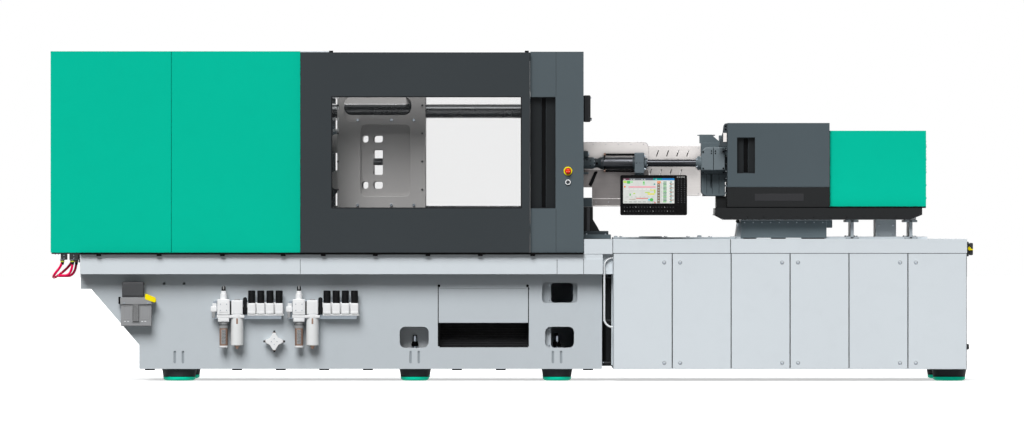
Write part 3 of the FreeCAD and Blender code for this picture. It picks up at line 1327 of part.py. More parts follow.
def cabinet_deck():
    plate = box("deck_plate_sheet", (CABINET_LEFT, CABINET_RIGHT), ("-apron_half", "cabinet_back_half"),
                (f"{CABINET_TOP} - deck_plate", CABINET_TOP))
    base = f"({CABINET_TOP} - 1)"
    top = f"({SUPPORT_LOW} + support_high - 2)"
    block_left = f"({CABINET_LEFT} + block_x)"
    block = box("support_block", (block_left, f"{block_left} + block_long"), ("-block_half", "block_half"),
                (base, top))
    notch = box("support_block_notch", (f"{block_left} + block_long - 1", f"{block_left} + block_long + 40"),
                ("-block_half", "block_half"), (f"{top} - 55", top))
    runner = [
        box(f"deck_runner_{side}", (f"{TRAY_LEFT} + 120", f"{TRAY_RIGHT} + 40"),
            span_about(f"({sign}carriage_rail_y)", "45"), (base, f"{CABINET_TOP} + 16"))
        for side, sign in (("front", "-"), ("rear", "+"))
    ]
    posts = []
    for key, place in (("one", "post_one_x"), ("two", "post_two_x")):
        middle = f"({CABINET_LEFT} + {place})"
        posts.append(box(f"post_{key}_web", span_about(middle, "post_thick / 2"),
                         ("-block_half", "block_half"),
                         (base, top)))
        posts.append(box(f"post_{key}_head", span_about(middle, "post_flange / 2"),
                         ("-block_half", "block_half"),
                         (f"{top} - 14", top)))
        posts.append(box(f"post_{key}_foot", span_about(middle, "post_flange / 2"),
                         ("-block_half", "block_half"),
                         (base, f"{CABINET_TOP} + 14")))
    plate_left = f"({CABINET_LEFT} + plate_post_x)"
    posts.append(box("plate_post", (plate_left, f"{plate_left} + plate_post_long"),
                     ("-block_half + 40", "block_half - 40"),
                     (base, top)))
    return finished("cabinet_deck", join("cabinet_deck_whole", plate, block, notch, *runner, *posts))


def switchgear():
    """Three plates on the cabinet's back, each with four drives over a row of relays."""
    pieces = []
    back = "(cabinet_back_half - cabinet_wall)"
    relay_low = f"({BED_LOW} + gear_margin + drive_gap)"
    drive_low = f"({relay_low} + relay_high + 3 * drive_gap)"
    for number in range(3):
        left = f"({CABINET_LEFT} + {2 * number} * (door_wide + door_gap) + gear_margin)"
        right = f"({left} + 2 * door_wide - 2 * gear_margin)"
        plate = box(f"switchgear_plate_{number}", (left, right), (f"{back} - gear_plate", back),
                    (f"{BED_LOW} + gear_margin", f"{DOOR_TOP} - gear_margin"))
        drives = [
            box(f"switchgear_drive_{number}_{place}",
                (f"{left} + drive_gap + {place} * drive_pitch", f"{left} + {place + 1} * drive_pitch"),
                (f"{back} - drive_deep", f"{back} - 1"), (drive_low, f"{DOOR_TOP} - gear_margin - drive_gap"))
            for place in range(4)
        ]
        relays = box(f"switchgear_relays_{number}", (f"{left} + drive_gap", f"{right} - gear_margin"),
                     (f"{back} - relay_deep", f"{back} - 1"), (relay_low, f"{relay_low} + relay_high"))
        pieces.append(join(f"switchgear_{number}", plate, *drives, relays))
    return finished("switchgear", group("switchgear_set", *pieces))


def cabinet_door(number):
    """A folded sheet tray, with two locks on the side where the pair of doors meets."""
    left, right = door_span(number)
    name = f"cabinet_door_{number + 1}"
    outer = box(name + "_outer", (left, right), ("-apron_half", "-(apron_half - door_thick)"),
                (DOOR_LOW, DOOR_TOP))
    inner = box(name + "_inner", (f"{left} + door_rim", f"{right} - door_rim"),
                ("-(apron_half - door_skin)", "-(apron_half - door_thick - 1)"),
                (f"{DOOR_LOW} + door_rim", f"{DOOR_TOP} - door_rim"))
    lock_x = f"({right} - lock_inset)" if number % 2 == 0 else f"({left} + lock_inset)"
    locks = [
        rod(f"{name}_lock_{level}", "y", ("-(apron_half + 3)", "-(apron_half - door_thick + 1)"), lock_x,
            height,
            "lock_dia")
        for level, height in (("high", f"{DOOR_TOP} - lock_end - 20"), ("low", f"{DOOR_LOW} + lock_end + 14"))
    ]
    return finished(name, join(name + "_whole", cut(name + "_tray", outer, inner), *locks))


def cabinet_handle():
    low = f"({BED_LOW} + cabinet_base + handle_low)"
    high = f"({low} + handle_high)"
    left = f"({CABINET_LEFT} - handle_reach)"
    parts = [
        rod("handle_upright", "z", (f"{low} + handle_round", f"{high} - handle_round"), left, "-handle_y",
            "handle_dia"),
    ]
    for level, height in (("low", low), ("high", high)):
        parts.append(rod(f"handle_{level}_leg", "x", (f"{left} + handle_round", CABINET_LEFT), "-handle_y",
                         height,
                         "handle_dia"))
    for level, start, height in (("low", 180, f"{low} + handle_round"),
                                 ("high", 90, f"{high} - handle_round")):
        bend = doc.addObject("Part::Torus", f"handle_{level}_bend")
        bind(bend, "Radius1", "handle_round")
        bind(bend, "Radius2", "handle_dia / 2")
        bend.Angle3 = 90
        turn = FreeCAD.Rotation(FreeCAD.Vector(1, 0, 0),
                                90).multiply(FreeCAD.Rotation(FreeCAD.Vector(0, 0, 1), start))
        bend.Placement = FreeCAD.Placement(FreeCAD.Vector(), turn)
        bind(bend, "Placement.Base.x", f"{left} + handle_round")
        bind(bend, "Placement.Base.y", "-handle_y")
        bind(bend, "Placement.Base.z", height)
        parts.append(bend)
    return finished("cabinet_handle", join("cabinet_handle_whole", *parts))


# ---------------------------------------------------------------- injection unit
def carriage_base():
    outer = box("tray_outer", (TRAY_LEFT, TRAY_RIGHT), ("-tray_half", "tray_half"), (TRAY_LOW, TRAY_TOP))
    hollow = box("tray_inner", (f"{TRAY_LEFT} + tray_wall", f"{TRAY_RIGHT} - tray_wall"),
                 ("-(tray_half - tray_wall)", "tray_half - tray_wall"),
                 (f"{TRAY_LOW} - 1", f"{TRAY_TOP} - tray_wall"))
    shoes = []
    for side, sign in (("front", "-"), ("rear", "+")):
        for number, place in enumerate(("shoe_one_x", "shoe_two_x")):
            shoes.append(box(f"tray_shoe_{side}_{number}",
                             (f"{TRAY_LEFT} + {place}", f"{TRAY_LEFT} + {place} + shoe_long"),
                             span_about(f"({sign}carriage_rail_y)", "carriage_rail_wide / 2 + 10"),
                             (f"{TRAY_LOW} - 2 + carriage_rail_high + run_gap",
                              f"{TRAY_TOP} - tray_wall + 1")))
    lip = box("tray_lip_sheet", (f"{TRAY_LEFT} - tray_lip", f"{TRAY_LEFT} + 1"), ("-tray_half", "tray_half"),
              (f"{TRAY_LOW} + 30", f"{TRAY_LOW} + 30 + tray_wall"))
    column = box("tray_column", (f"{TRAY_LEFT} + 10", f"{TRAY_LEFT} + 86"),
                 ("-(feed_half - 20)", "feed_half - 20"),
                 (f"{TRAY_TOP} - 1", f"{AXIS} - feed_low"))
    ramps = [
        profile(f"tray_ramp_{side}", "y", [
            (f"{end}{inward} (tray_wall + {long})", f"{TRAY_LOW} - 1"),
            (f"{end}{outward} 1", f"{TRAY_LOW} - 1"),
            (f"{end}{outward} 1", f"{TRAY_LOW} + tray_ramp_high"),
        ], ("-(tray_half + 1)", "tray_half + 1"))
        for side, end, inward, outward, long in (("left", TRAY_LEFT, " +", " -", "tray_ramp_left"),
                                                 ("right", TRAY_RIGHT, " -", " +", "tray_ramp_right"))
    ]
    rail_gates = [
        box(f"tray_rail_gate_{side}", (f"{TRAY_LEFT} - tray_lip - 1", f"{TRAY_RIGHT} + 1"),
            span_about(f"({sign}carriage_rail_y)", "carriage_rail_wide / 2 + 6"),
            (f"{TRAY_LOW} - 1", f"{TRAY_LOW} + carriage_rail_high + 6"))
        for side, sign in (("front", "-"), ("rear", "+"))
    ]
    tray = cut("tray_sheet", join("tray_folded", outer, lip), hollow, *ramps, *rail_gates)
    strips = []
    for name, left, right, half in (("housing", HOUSING_LEFT, HOUSING_RIGHT, "housing_half"),
                                    ("motor", f"{HOUSING_RIGHT} + seam", TRAY_RIGHT, "motor_cover_half")):
        for side, span in (("front", (f"-({half} - 2)", f"-({half} - 30)")),
                           ("rear", (f"{half} - 30", f"{half} - 2"))):
            strips.append(box(f"tray_strip_{name}_{side}", (f"{left} + 2", f"{right} - 2"), span,
                              (f"{TRAY_TOP} - 1", HOUSING_LOW)))
    frame = cut("carriage_frame", join("carriage_frame_cast", *frame_plates()), *frame_bores())
    return finished("carriage_base", join("carriage_base_whole", tray, *shoes, column, *strips, frame,
                                          *frame_guides()))


GUIDE_SIDES = (("front", "-"), ("rear", "+"))


def frame_plates():
    """The plates on the carriage that carry the barrel and the guide rods of the drive."""
    return (
        box("frame_front", (FRAME_LEFT, f"{FRAME_LEFT} + frame_thick"), span_about("0", "frame_half"),
            (f"{TRAY_TOP} - 1", f"{AXIS} + 170")),
        box("frame_rear", (FRAME_RIGHT, f"{FRAME_RIGHT} + frame_thick"), span_about("0", "frame_half"),
            (f"{TRAY_TOP} - 1", f"{AXIS} + 120")),
    )


def frame_bores():
    return (
        rod("frame_bore", "x", (f"{FRAME_LEFT} - 1", f"{FRAME_LEFT} + frame_thick + 1"), "0", AXIS,
            "screw_dia + 8"),
        rod("frame_rear_bore", "x", (f"{FRAME_RIGHT} - 1", f"{FRAME_RIGHT} + frame_thick + 1"), "0", AXIS,
            "drive_motor_dia + 20"),
    )


def frame_guides():
    return [
        rod(f"frame_guide_{side}", "x", (f"{FRAME_LEFT} + frame_thick - 1", f"{FRAME_RIGHT} + 1"),
            f"({sign}drive_guide_y)", AXIS, "drive_guide_dia")
        for side, sign in GUIDE_SIDES
    ]


def injection_cover():
    top = f"({HOUSING_LOW} + housing_high)"
    outer = box("housing_outer", (HOUSING_LEFT, HOUSING_RIGHT), ("-housing_half", "housing_half"),
                (HOUSING_LOW, top))
    inner = box("housing_inner", (f"{HOUSING_LEFT} + housing_wall", f"{HOUSING_RIGHT} + 1"),
                ("-(housing_half - housing_wall)", "housing_half - housing_wall"),
                (f"{HOUSING_LOW} - 1", f"{top} - housing_wall"))
    front_port = box("housing_port", (f"{HOUSING_LEFT} - 1", f"{HOUSING_LEFT} + housing_wall + 1"),
                     ("-(feed_half + 30)", "feed_half + 30"), (f"{HOUSING_LOW} - 1", f"{AXIS} + 200"))
    grip_left = f"({HOUSING_LEFT} + housing_grip_x)"
    grip_low = f"({HOUSING_LOW} + housing_grip_low)"
    wall = box("housing_niche_wall",
               (f"{grip_left} - housing_wall", f"{grip_left} + housing_grip_wide + housing_wall"),
               ("-housing_half", "-(housing_half - housing_grip_deep - housing_wall)"),
               (f"{grip_low} - housing_wall", f"{grip_low} + housing_grip_high + housing_wall"))
    niche = box("housing_niche", (grip_left, f"{grip_left} + housing_grip_wide"),
                ("-(housing_half + 1)", "-(housing_half - housing_grip_deep)"),
                (grip_low, f"{grip_low} + housing_grip_high"))
    slot = box("housing_slot", (f"{grip_left} + 47", f"{grip_left} + 79"),
               ("-(housing_half - housing_grip_deep + 1)",
                "-(housing_half - housing_grip_deep - housing_wall - 1)"),
               (f"{grip_low} + 4", f"{grip_low} + housing_grip_high - 4"))
    groove = box("housing_band_line", (f"{HOUSING_LEFT} - 1", f"{HOUSING_RIGHT} + 1"),
                 ("-(housing_half + 1)", "-(housing_half - 2)"),
                 (f"{HOUSING_LOW} + band_high", f"{HOUSING_LOW} + band_high + seam"))
    shell = cut("housing_shell", outer, inner, front_port, groove)
    return finished("injection_cover", cut("housing_whole", join("housing_cased", shell, wall), niche, slot))


def motor_cover():
    left = f"({HOUSING_RIGHT} + seam)"
    right = f"({left} + motor_cover_long)"
    top = f"({HOUSING_LOW} + motor_cover_high)"
    outer = box("motor_cover_outer", (left, right), ("-motor_cover_half", "motor_cover_half"),
                (HOUSING_LOW, top))
    inner = box("motor_cover_inner", (f"{left} - 1", f"{right} - housing_wall"),
                ("-(motor_cover_half - housing_wall)", "motor_cover_half - housing_wall"),
                (f"{HOUSING_LOW} - 1", f"{top} - housing_wall"))
    return finished("motor_cover", cut("motor_cover_whole", outer, inner))


def feed_housing():
    low, high = f"({AXIS} - feed_low)", f"({AXIS} + feed_high)"
    waist = f"({AXIS} - 64)"
    head = box("feed_head", (f"{FEED_LEFT} + 4", FEED_RIGHT), ("-feed_half", "feed_half"), (waist, high))
    belt = box("feed_belt", (FEED_LEFT, f"{FEED_RIGHT} + 3"), ("-(feed_half + 8)", "feed_half + 8"),
               (f"{waist} - 12", f"{waist} + 26"))
    skirt = box("feed_skirt", (f"{FEED_LEFT} + 16", f"{FEED_RIGHT} - 10"),
                ("-(feed_half - 20)", "feed_half - 20"),
                (low, f"{waist} + 1"))
    hopper_seat = profile("feed_hopper_seat", "y", [
        (f"{FEED_LEFT} - 6", f"{high} - 1"), (f"{FEED_LEFT} + 148", f"{high} - 1"),
        (f"{FEED_LEFT} + 78", f"{high} + feed_top_high"), (f"{FEED_LEFT} - 6", f"{high} + feed_top_high"),
    ], ("-110", "110"))
    rib = box("feed_rib", (f"{FEED_LEFT} + 70", f"{FEED_LEFT} + 78"), ("-(feed_half + 4)", "feed_half + 4"),
              (f"{low} + 60", f"{high} - 20"))
    lug = box("feed_lug", (f"{FEED_LEFT} + 60", f"{FEED_LEFT} + 102"),
              ("-(feed_half + 14)", "feed_half + 14"),
              (f"{high} - 52", f"{high} - 26"))
    mount = box("feed_mount", (f"{FEED_LEFT} + feed_long - 40", FRAME_LEFT),
                ("-(feed_half - 10)", "feed_half - 10"),
                (f"{HOUSING_LOW} + 180", f"{high} + 54"))
    bore = rod("feed_barrel_bore", "x", (f"{FEED_LEFT} - 8", f"{FRAME_LEFT} + 1"), "0", AXIS,
               "barrel_dia + 2 * pin_clear")
    throat = rod("feed_throat", "z", (AXIS, f"{high} + feed_top_high + 1"), f"{FEED_LEFT} + feed_throat_x",
                 "0",
                 "feed_throat_dia")
    flanges = [
        rod(f"feed_rod_flange_{side}", "x", (f"{FEED_LEFT} - 26", f"{FEED_LEFT} + 5"), f"{sign}cylinder_y",
            f"{AXIS} - cylinder_z", "96")
        for side, sign in (("front", "-"), ("rear", "+"))
    ]
    brackets = [
        box(f"feed_rod_bracket_{side}", (f"{FEED_LEFT} + 4", f"{FEED_LEFT} + 60"), span,
            span_about(f"({AXIS} - cylinder_z)", "48"))
        for side, span in (("front", ("-(cylinder_y + 48)", "-(feed_half - 1)")),
                           ("rear", ("feed_half - 1", "cylinder_y + 48")))
    ]
    cast = join("feed_cast", head, belt, skirt, hopper_seat, rib, lug, mount, *brackets, *flanges)
    return finished("feed_housing", cut("feed_whole", cast, bore, throat))


BARREL_END = FRAME_LEFT
BARREL_TIP = f"({CABINET_LEFT} - barrel_reach)"


def barrel():
    tube = rod("barrel_tube", "x", (BARREL_TIP, BARREL_END), "0", AXIS, "barrel_dia")
    bore = rod("barrel_bore_hole", "x", (f"{BARREL_TIP} - 1", f"{BARREL_END} + 1"), "0", AXIS, "barrel_bore")
    throat = rod("barrel_throat", "z", (AXIS, f"{AXIS} + barrel_dia"), f"{FEED_LEFT} + feed_throat_x", "0",
                 "feed_throat_dia + 2")
    bands = [
        rod(f"barrel_band_{number}", "x",
            (f"{BARREL_TIP} + 60 + {number} * heater_pitch",
             f"{BARREL_TIP} + 60 + {number} * heater_pitch + heater_long"),
            "0", AXIS, "band_dia")
        for number in range(6)
    ]
    return finished("barrel", cut("barrel_whole", join("barrel_turned", tube, *bands), bore, throat))


def nozzle():
    head = cone("nozzle_head", "x", (f"{BARREL_TIP} - 60", BARREL_TIP), "0", AXIS, "nozzle_dia",
                "barrel_dia * 0.9")
    body = rod("nozzle_body", "x", (f"{BARREL_TIP} - nozzle_long + 20", f"{BARREL_TIP} - 59"), "0", AXIS,
               "nozzle_dia")
    tip = cone("nozzle_tip", "x", (f"{BARREL_TIP} - nozzle_long", f"{BARREL_TIP} - nozzle_long + 21"), "0",
               AXIS, "24",
               "nozzle_dia")
    hole = rod("nozzle_hole_rod", "x", (f"{BARREL_TIP} - nozzle_long - 1", f"{BARREL_TIP} + 1"), "0", AXIS,
               "nozzle_hole")
    return finished("nozzle", cut("nozzle_whole", join("nozzle_turned", head, body, tip), hole))


def screw_flight(start, end):
    """One flight wound round the screw's core as a helix."""
    body, sketch = sketched_body("screw_flight", "y")
    inner, outer = "(screw_core_dia / 2 - 3)", "(screw_dia / 2 - flight_clear)"
    corners = [("0", inner), ("flight_thick", inner), ("flight_thick", outer), ("0", outer)]
    draw_polygon(sketch, corners)
    flight = body.newObject("PartDesign::AdditiveHelix", "screw_flight_helix")
    flight.Profile = sketch
    flight.ReferenceAxis = (sketch, ["H_Axis"])
    bind(flight, "Pitch", "screw_pitch")
    bind(flight, "Height", f"{end} - {start}")
    body.Tip = flight
    bind(body, "Placement.Base.x", start)
    bind(body, "Placement.Base.z", AXIS)
    return body


def plasticising_screw():
    """The screw as it stands when the shot is ready, with its tip one stroke behind the nozzle."""
    tip = f"({BARREL_TIP} + inject_stroke + screw_end_gap)"
    shoulder = f"({tip} + screw_tip_long)"
    right = DRIVE_LEFT
    point = cone("screw_point", "x", (tip, f"{shoulder} + 1"), "0", AXIS, "8", "screw_core_dia")
    core = rod("screw_core", "x", (shoulder, right), "0", AXIS, "screw_core_dia")
    shank_left = f"({FEED_RIGHT} - 20)"
    shank = rod("screw_shank", "x", (shank_left, right), "0", AXIS, "screw_dia")
    flight = screw_flight(f"({shoulder} + 20)", f"({shank_left} - 30)")
    return finished("plasticising_screw", join("screw_whole", core, point, shank, flight))


def injection_drive():
    left = DRIVE_LEFT
    plate = rounded("drive_plate", "x", span_about("0", "drive_plate_half"),
                    span_about(AXIS, "drive_plate_half * 0.8"),
                    (left, f"{left} + drive_plate_thick"), "30")
    motor = rod("drive_motor", "x",
                (f"{left} + drive_plate_thick - 1", f"{left} + drive_plate_thick + drive_motor_long"), "0",
                AXIS,
                "drive_motor_dia")
    bores = [
        rod(f"drive_guide_bore_{side}", "x", (f"{left} - 1", f"{left} + drive_plate_thick + 1"),
            f"({sign}drive_guide_y)", AXIS, "drive_guide_dia + 2 * pin_clear")
        for side, sign in GUIDE_SIDES
    ]
    return finished("injection_drive", cut("drive_whole", join("drive_cast", plate, motor), *bores))


def carriage_cylinders():
    pieces = []
    for side, sign in (("front", "-"), ("rear", "+")):
        y, z = f"({sign}cylinder_y)", f"({AXIS} - cylinder_z)"
        left = f"({PILLAR_RIGHT} + cylinder_x)"
        right = f"({left} + cylinder_long)"
        name = f"cylinder_{side}"
        tube = rod(name + "_tube", "x", (left, right), y, z, "cylinder_dia")
        cap = box(name + "_cap", (f"{right} - 1", f"{right} + cylinder_cap_long"),
                  span_about(y, "cylinder_cap_half * 0.8"),
                  (f"{z} - cylinder_cap_half", f"{z} + cylinder_cap_half"))
        head = box(name + "_head", (f"{left} - 4", f"{left} + 30"), span_about(y, "56"), span_about(z, "56"))
        neck = cone(name + "_neck", "x", (f"{PILLAR_RIGHT} + 62", f"{left} - 3"), y, z, "82", "60")
        flange = rod(name + "_flange", "x", (f"{PILLAR_RIGHT} - 40", f"{PILLAR_RIGHT} + 63"), y, z, "82")
        lug = box(name + "_lug", (PLATEN_BACK, f"{PILLAR_RIGHT} - 39"), span_about(y, "30"),
                  span_about(z, "40"))
        ties = [
            rod(f"{name}_tie_{number}", "x", (f"{left} + 20", f"{right} + 4"), f"{y} {a} 42", f"{z} {b} 42",
                "16")
            for number, (a, b) in enumerate((("-", "-"), ("-", "+"), ("+", "-"), ("+", "+")))
        ]
        bore = rod(name + "_bore", "x",
                   (f"{PILLAR_RIGHT} + rod_bore_start", f"{right} + cylinder_cap_long + 1"), y, z,
                   "cylinder_rod_dia + 2 * pin_clear")
        pieces.append(cut(name, join(name + "_cast", tube, cap, head, neck, flange, lug, *ties), bore))
    return finished("carriage_cylinders", group("carriage_cylinders_set", *pieces))


def cylinder_rods():
    pieces = []
    for side, sign in (("front", "-"), ("rear", "+")):
        right = f"({FEED_LEFT} - 26)"
        start = f"({PILLAR_RIGHT} + rod_bore_start + carriage_forward + 5)"
        pieces.append(rod(f"cylinder_rod_{side}", "x", (start, right), f"({sign}cylinder_y)",
                          f"({AXIS} - cylinder_z)",
                          "cylinder_rod_dia"))
    return finished("cylinder_rods", group("cylinder_rods_set", *pieces))


def barrel_guard():
    left = f"({PILLAR_RIGHT} + 3)"
    right = f"({PILLAR_RIGHT} + guard_long)"
    low, high = f"({AXIS} - guard_low)", f"({AXIS} + guard_high)"
    outer = box("guard_outer", (left, right), ("-guard_half", "guard_half"), (low, high))
    inner = box("guard_inner", (f"{left} - 1", f"{right} + 1"),
                ("-(guard_half - guard_sheet)", "guard_half - guard_sheet"),
                (f"{low} - 1", f"{high} - guard_sheet"))
    skirt_outer = box("guard_skirt_outer", (f"{left} + 62", right), ("-guard_half", "guard_half"),
                      (f"{low} - guard_step", f"{low} + 1"))
    skirt_inner = box("guard_skirt_inner", (f"{left} + 61", f"{right} + 1"),
                      ("-(guard_half - guard_sheet)", "guard_half - guard_sheet"),
                      (f"{low} - guard_step - 1", f"{low} + 2"))
    arms = [
        box(f"guard_arm_{side}", (PLATEN_BACK, f"{left} + 30"), span,
            (f"{high} - 100", f"{high} - 20"))
        for side, span in (("front", ("-(guard_half - guard_sheet + 1)", "-(guard_half - guard_arm_thick)")),
                           ("rear", ("guard_half - guard_arm_thick", "guard_half - guard_sheet + 1")))
    ]
    hood = cut("guard_hood", outer, inner)
    skirt = cut("guard_skirt", skirt_outer, skirt_inner)
    return finished("barrel_guard", join("guard_whole", hood, skirt, *arms))


def sliding_guard():
    left = f"({PILLAR_RIGHT} + guard_long - 20)"
    right = FEED_LEFT
    low, high = f"({AXIS} - slide_guard_low)", f"({AXIS} + slide_guard_high)"
    outer = box("slide_guard_outer", (left, right), ("-slide_guard_half", "slide_guard_half"), (low, high))
    inner = box("slide_guard_inner", (f"{left} - 1", f"{right} + 1"),
                ("-(slide_guard_half - guard_sheet)", "slide_guard_half - guard_sheet"),
                (f"{low} - 1", f"{high} - guard_sheet"))
    slots = []
    for row_number, (first, level) in enumerate(((85, 59), (35, -76))):
        for number in range(4):
            x = f"({left} + {first} + {number} * 72)"
            z = f"({AXIS} + {level})"
            slots.append(profile(f"slide_guard_slot_{row_number}_{number}", "y", [
                (f"{x} - 11", f"{z} - 22"), (f"{x} - 4", f"{z} - 22"), (f"{x} + 11", f"{z} + 22"),
                (f"{x} + 4", f"{z} + 22"),
            ], ("-(slide_guard_half + 1)", "slide_guard_half + 1")))
    return finished("sliding_guard", cut("slide_guard_whole", cut("slide_guard_hood", outer, inner), *slots))


# ---------------------------------------------------------------- operator's controls
PANEL_LEFT = f"({PILLAR_RIGHT} + panel_x)"
PANEL_LOW = f"({AXIS} - panel_z)"
PANEL_MIDDLE_X = f"({PANEL_LEFT} + panel_wide / 2)"
ARM_X = f"({PILLAR_RIGHT} + cylinder_x + cylinder_long + cylinder_cap_long / 2)"
ARM_LEVEL = f"({AXIS} - arm_z - 30)"


def panel_arm():
    hub_y = "(-cylinder_y)"
    cap_low = f"({AXIS} - cylinder_z - cylinder_cap_half)"
    post = rod("arm_post", "z", (f"{ARM_LEVEL} - 30", f"{cap_low} - run_gap"), ARM_X, hub_y, "arm_dia + 20")
    reach = box("arm_reach", span_about(ARM_X, "arm_dia / 2"),
                ("-(panel_y - panel_thick - 90)", "-cylinder_y"),
                span_about(ARM_LEVEL, "arm_dia / 2 - 4"))
    across = box("arm_across", (f"{ARM_X} - arm_dia / 2", f"{PANEL_MIDDLE_X} + 5"),
                 ("-(panel_y - panel_thick - 60)", "-(panel_y - panel_thick - 110)"),
                 span_about(ARM_LEVEL, "arm_dia / 2 - 4"))
    pin = rod("arm_panel_pin", "z", span_about(ARM_LEVEL, "arm_pin_half"), PANEL_MIDDLE_X,
              "-(panel_y - panel_thick - 60)", "arm_dia - 10")
    return finished("panel_arm", join("panel_arm_whole", post, reach, across, pin))


def control_panel():
    back = "-(panel_y - panel_thick)"
    case = rounded("panel_case", "y", (PANEL_LEFT, f"{PANEL_LEFT} + panel_wide"),
                   (PANEL_LOW, f"{PANEL_LOW} + panel_high"),
                   ("-panel_y", back), "14")
    screen = box("panel_screen_recess", (f"{PANEL_LEFT} + 19", f"{PANEL_LEFT} + 384"),
                 ("-(panel_y + 1)", "-(panel_y - 2)"),
                 (f"{PANEL_LOW} + 83", f"{PANEL_LOW} + 262"))
    lugs = [
        box(f"panel_lug_{level}", span_about(PANEL_MIDDLE_X, "35"),
            (f"{back} - 1", "-(panel_y - panel_thick - 60) + 35"), span)
        for level, span in (("high",
                             (f"{ARM_LEVEL} + arm_pin_half + run_gap", f"{ARM_LEVEL} + arm_pin_half + 20")),
                            ("low", (f"{ARM_LEVEL} - arm_pin_half - 20",
                                     f"{ARM_LEVEL} - arm_pin_half - run_gap")))
    ]
    return finished("control_panel", join("panel_whole", cut("panel_cut", case, screen), *lugs))


def estop_button():
    under_head = "-(pillar_half + estop_proud - estop_head_thick)"
    head = rod("estop_head", "y", ("-(pillar_half + estop_proud)", under_head), ESTOP_X, ESTOP_Z,
               "estop_head_dia")
    stem = rod("estop_stem", "y", (f"{under_head} - 1", "-(pillar_half - cover_wall)"), ESTOP_X, ESTOP_Z,
               "estop_stem_dia")
    return finished("estop_button", join("estop_whole", head, stem))


def key_switch():
    front = "-(pillar_half + collar_proud + 2)"
    plug = rod("key_plug", "y", (front, "-(pillar_half - key_seat + run_gap)"), ESTOP_X, KEY_Z,
               "key_plug_dia")
    slot = box("key_slot", span_about(ESTOP_X, "key_slot_wide / 2"), (f"{front} - 1", f"{front} + 4"),
               span_about(KEY_Z, "key_plug_dia * 0.35"))
    return finished("key_switch", cut("key_switch_whole", plug, slot))


# ---------------------------------------------------------------- small units on the bed's front
def robot_socket():
    left = f"({BED_LEFT} + socket_x)"
    right = f"({left} + socket_wide)"
    wall = "-bed_half"
    face = "-(bed_half + socket_deep)"
    lower = box("socket_body", (left, right), (face, wall), (f"{DECK} - 512", f"{DECK} - 358"))
    collar = box("socket_collar", (f"{left} - 4", right), ("-(bed_half + socket_deep + 8)", wall),
                 (f"{DECK} - 359", f"{DECK} - 309"))
    head = box("socket_head", (f"{left} + 8", f"{right} - 56"), ("-(bed_half + socket_deep - 8)", wall),
               (f"{DECK} - 310", f"{DECK} - 198"))
    strip = box("socket_strip", (f"{left} + 86", f"{left} + 134"),
                ("-(bed_half + socket_deep + 6)", f"{face} + 1"),
                (f"{DECK} - 484", f"{DECK} - 360"))
    latch = box("socket_latch", (f"{left} - 16", f"{left} - 3"), ("-(bed_half + 50)", "-(bed_half + 20)"),
                (f"{DECK} - 356", f"{DECK} - 302"))
    hub = rod("socket_hub", "y", ("-(bed_half + socket_deep + 24)", "-(bed_half + 20)"), f"{right} + 18",
              f"{DECK} - 330", "24")
    hub_arm = box("socket_hub_arm", (f"{right} - 1", f"{right} + 18"),
                  ("-(bed_half + 60)", "-(bed_half + 20)"),
                  (f"{DECK} - 342", f"{DECK} - 318"))
    return finished("robot_socket",
                    join("robot_socket_whole", lower, collar, head, strip, latch, hub, hub_arm))


SOCKET_PIVOT_X = f"({BED_LEFT} + socket_x + socket_wide + 18)"


def socket_lever():
    z = f"({DECK} - 330)"
    span = ("-(bed_half + socket_deep + 24)", "-(bed_half + socket_deep + 10)")
    eye = rod("lever_eye", "y", span, SOCKET_PIVOT_X, z, "40")
    arm = profile("lever_arm", "y", [
        (f"{SOCKET_PIVOT_X} + 14", f"{z} + 2"), (f"{SOCKET_PIVOT_X} + 24", f"{z} + 18"),
        (f"{SOCKET_PIVOT_X} - 48", f"{z} + 62"), (f"{SOCKET_PIVOT_X} - 58", f"{z} + 46"),
    ], span)
    bore = rod("lever_bore", "y", (f"{span[0]} - 1", f"{span[1]} + 1"), SOCKET_PIVOT_X, z,
               "24 + 2 * pin_clear")
    return finished("robot_socket_lever", cut("lever_whole", join("lever_bars", eye, arm), bore))


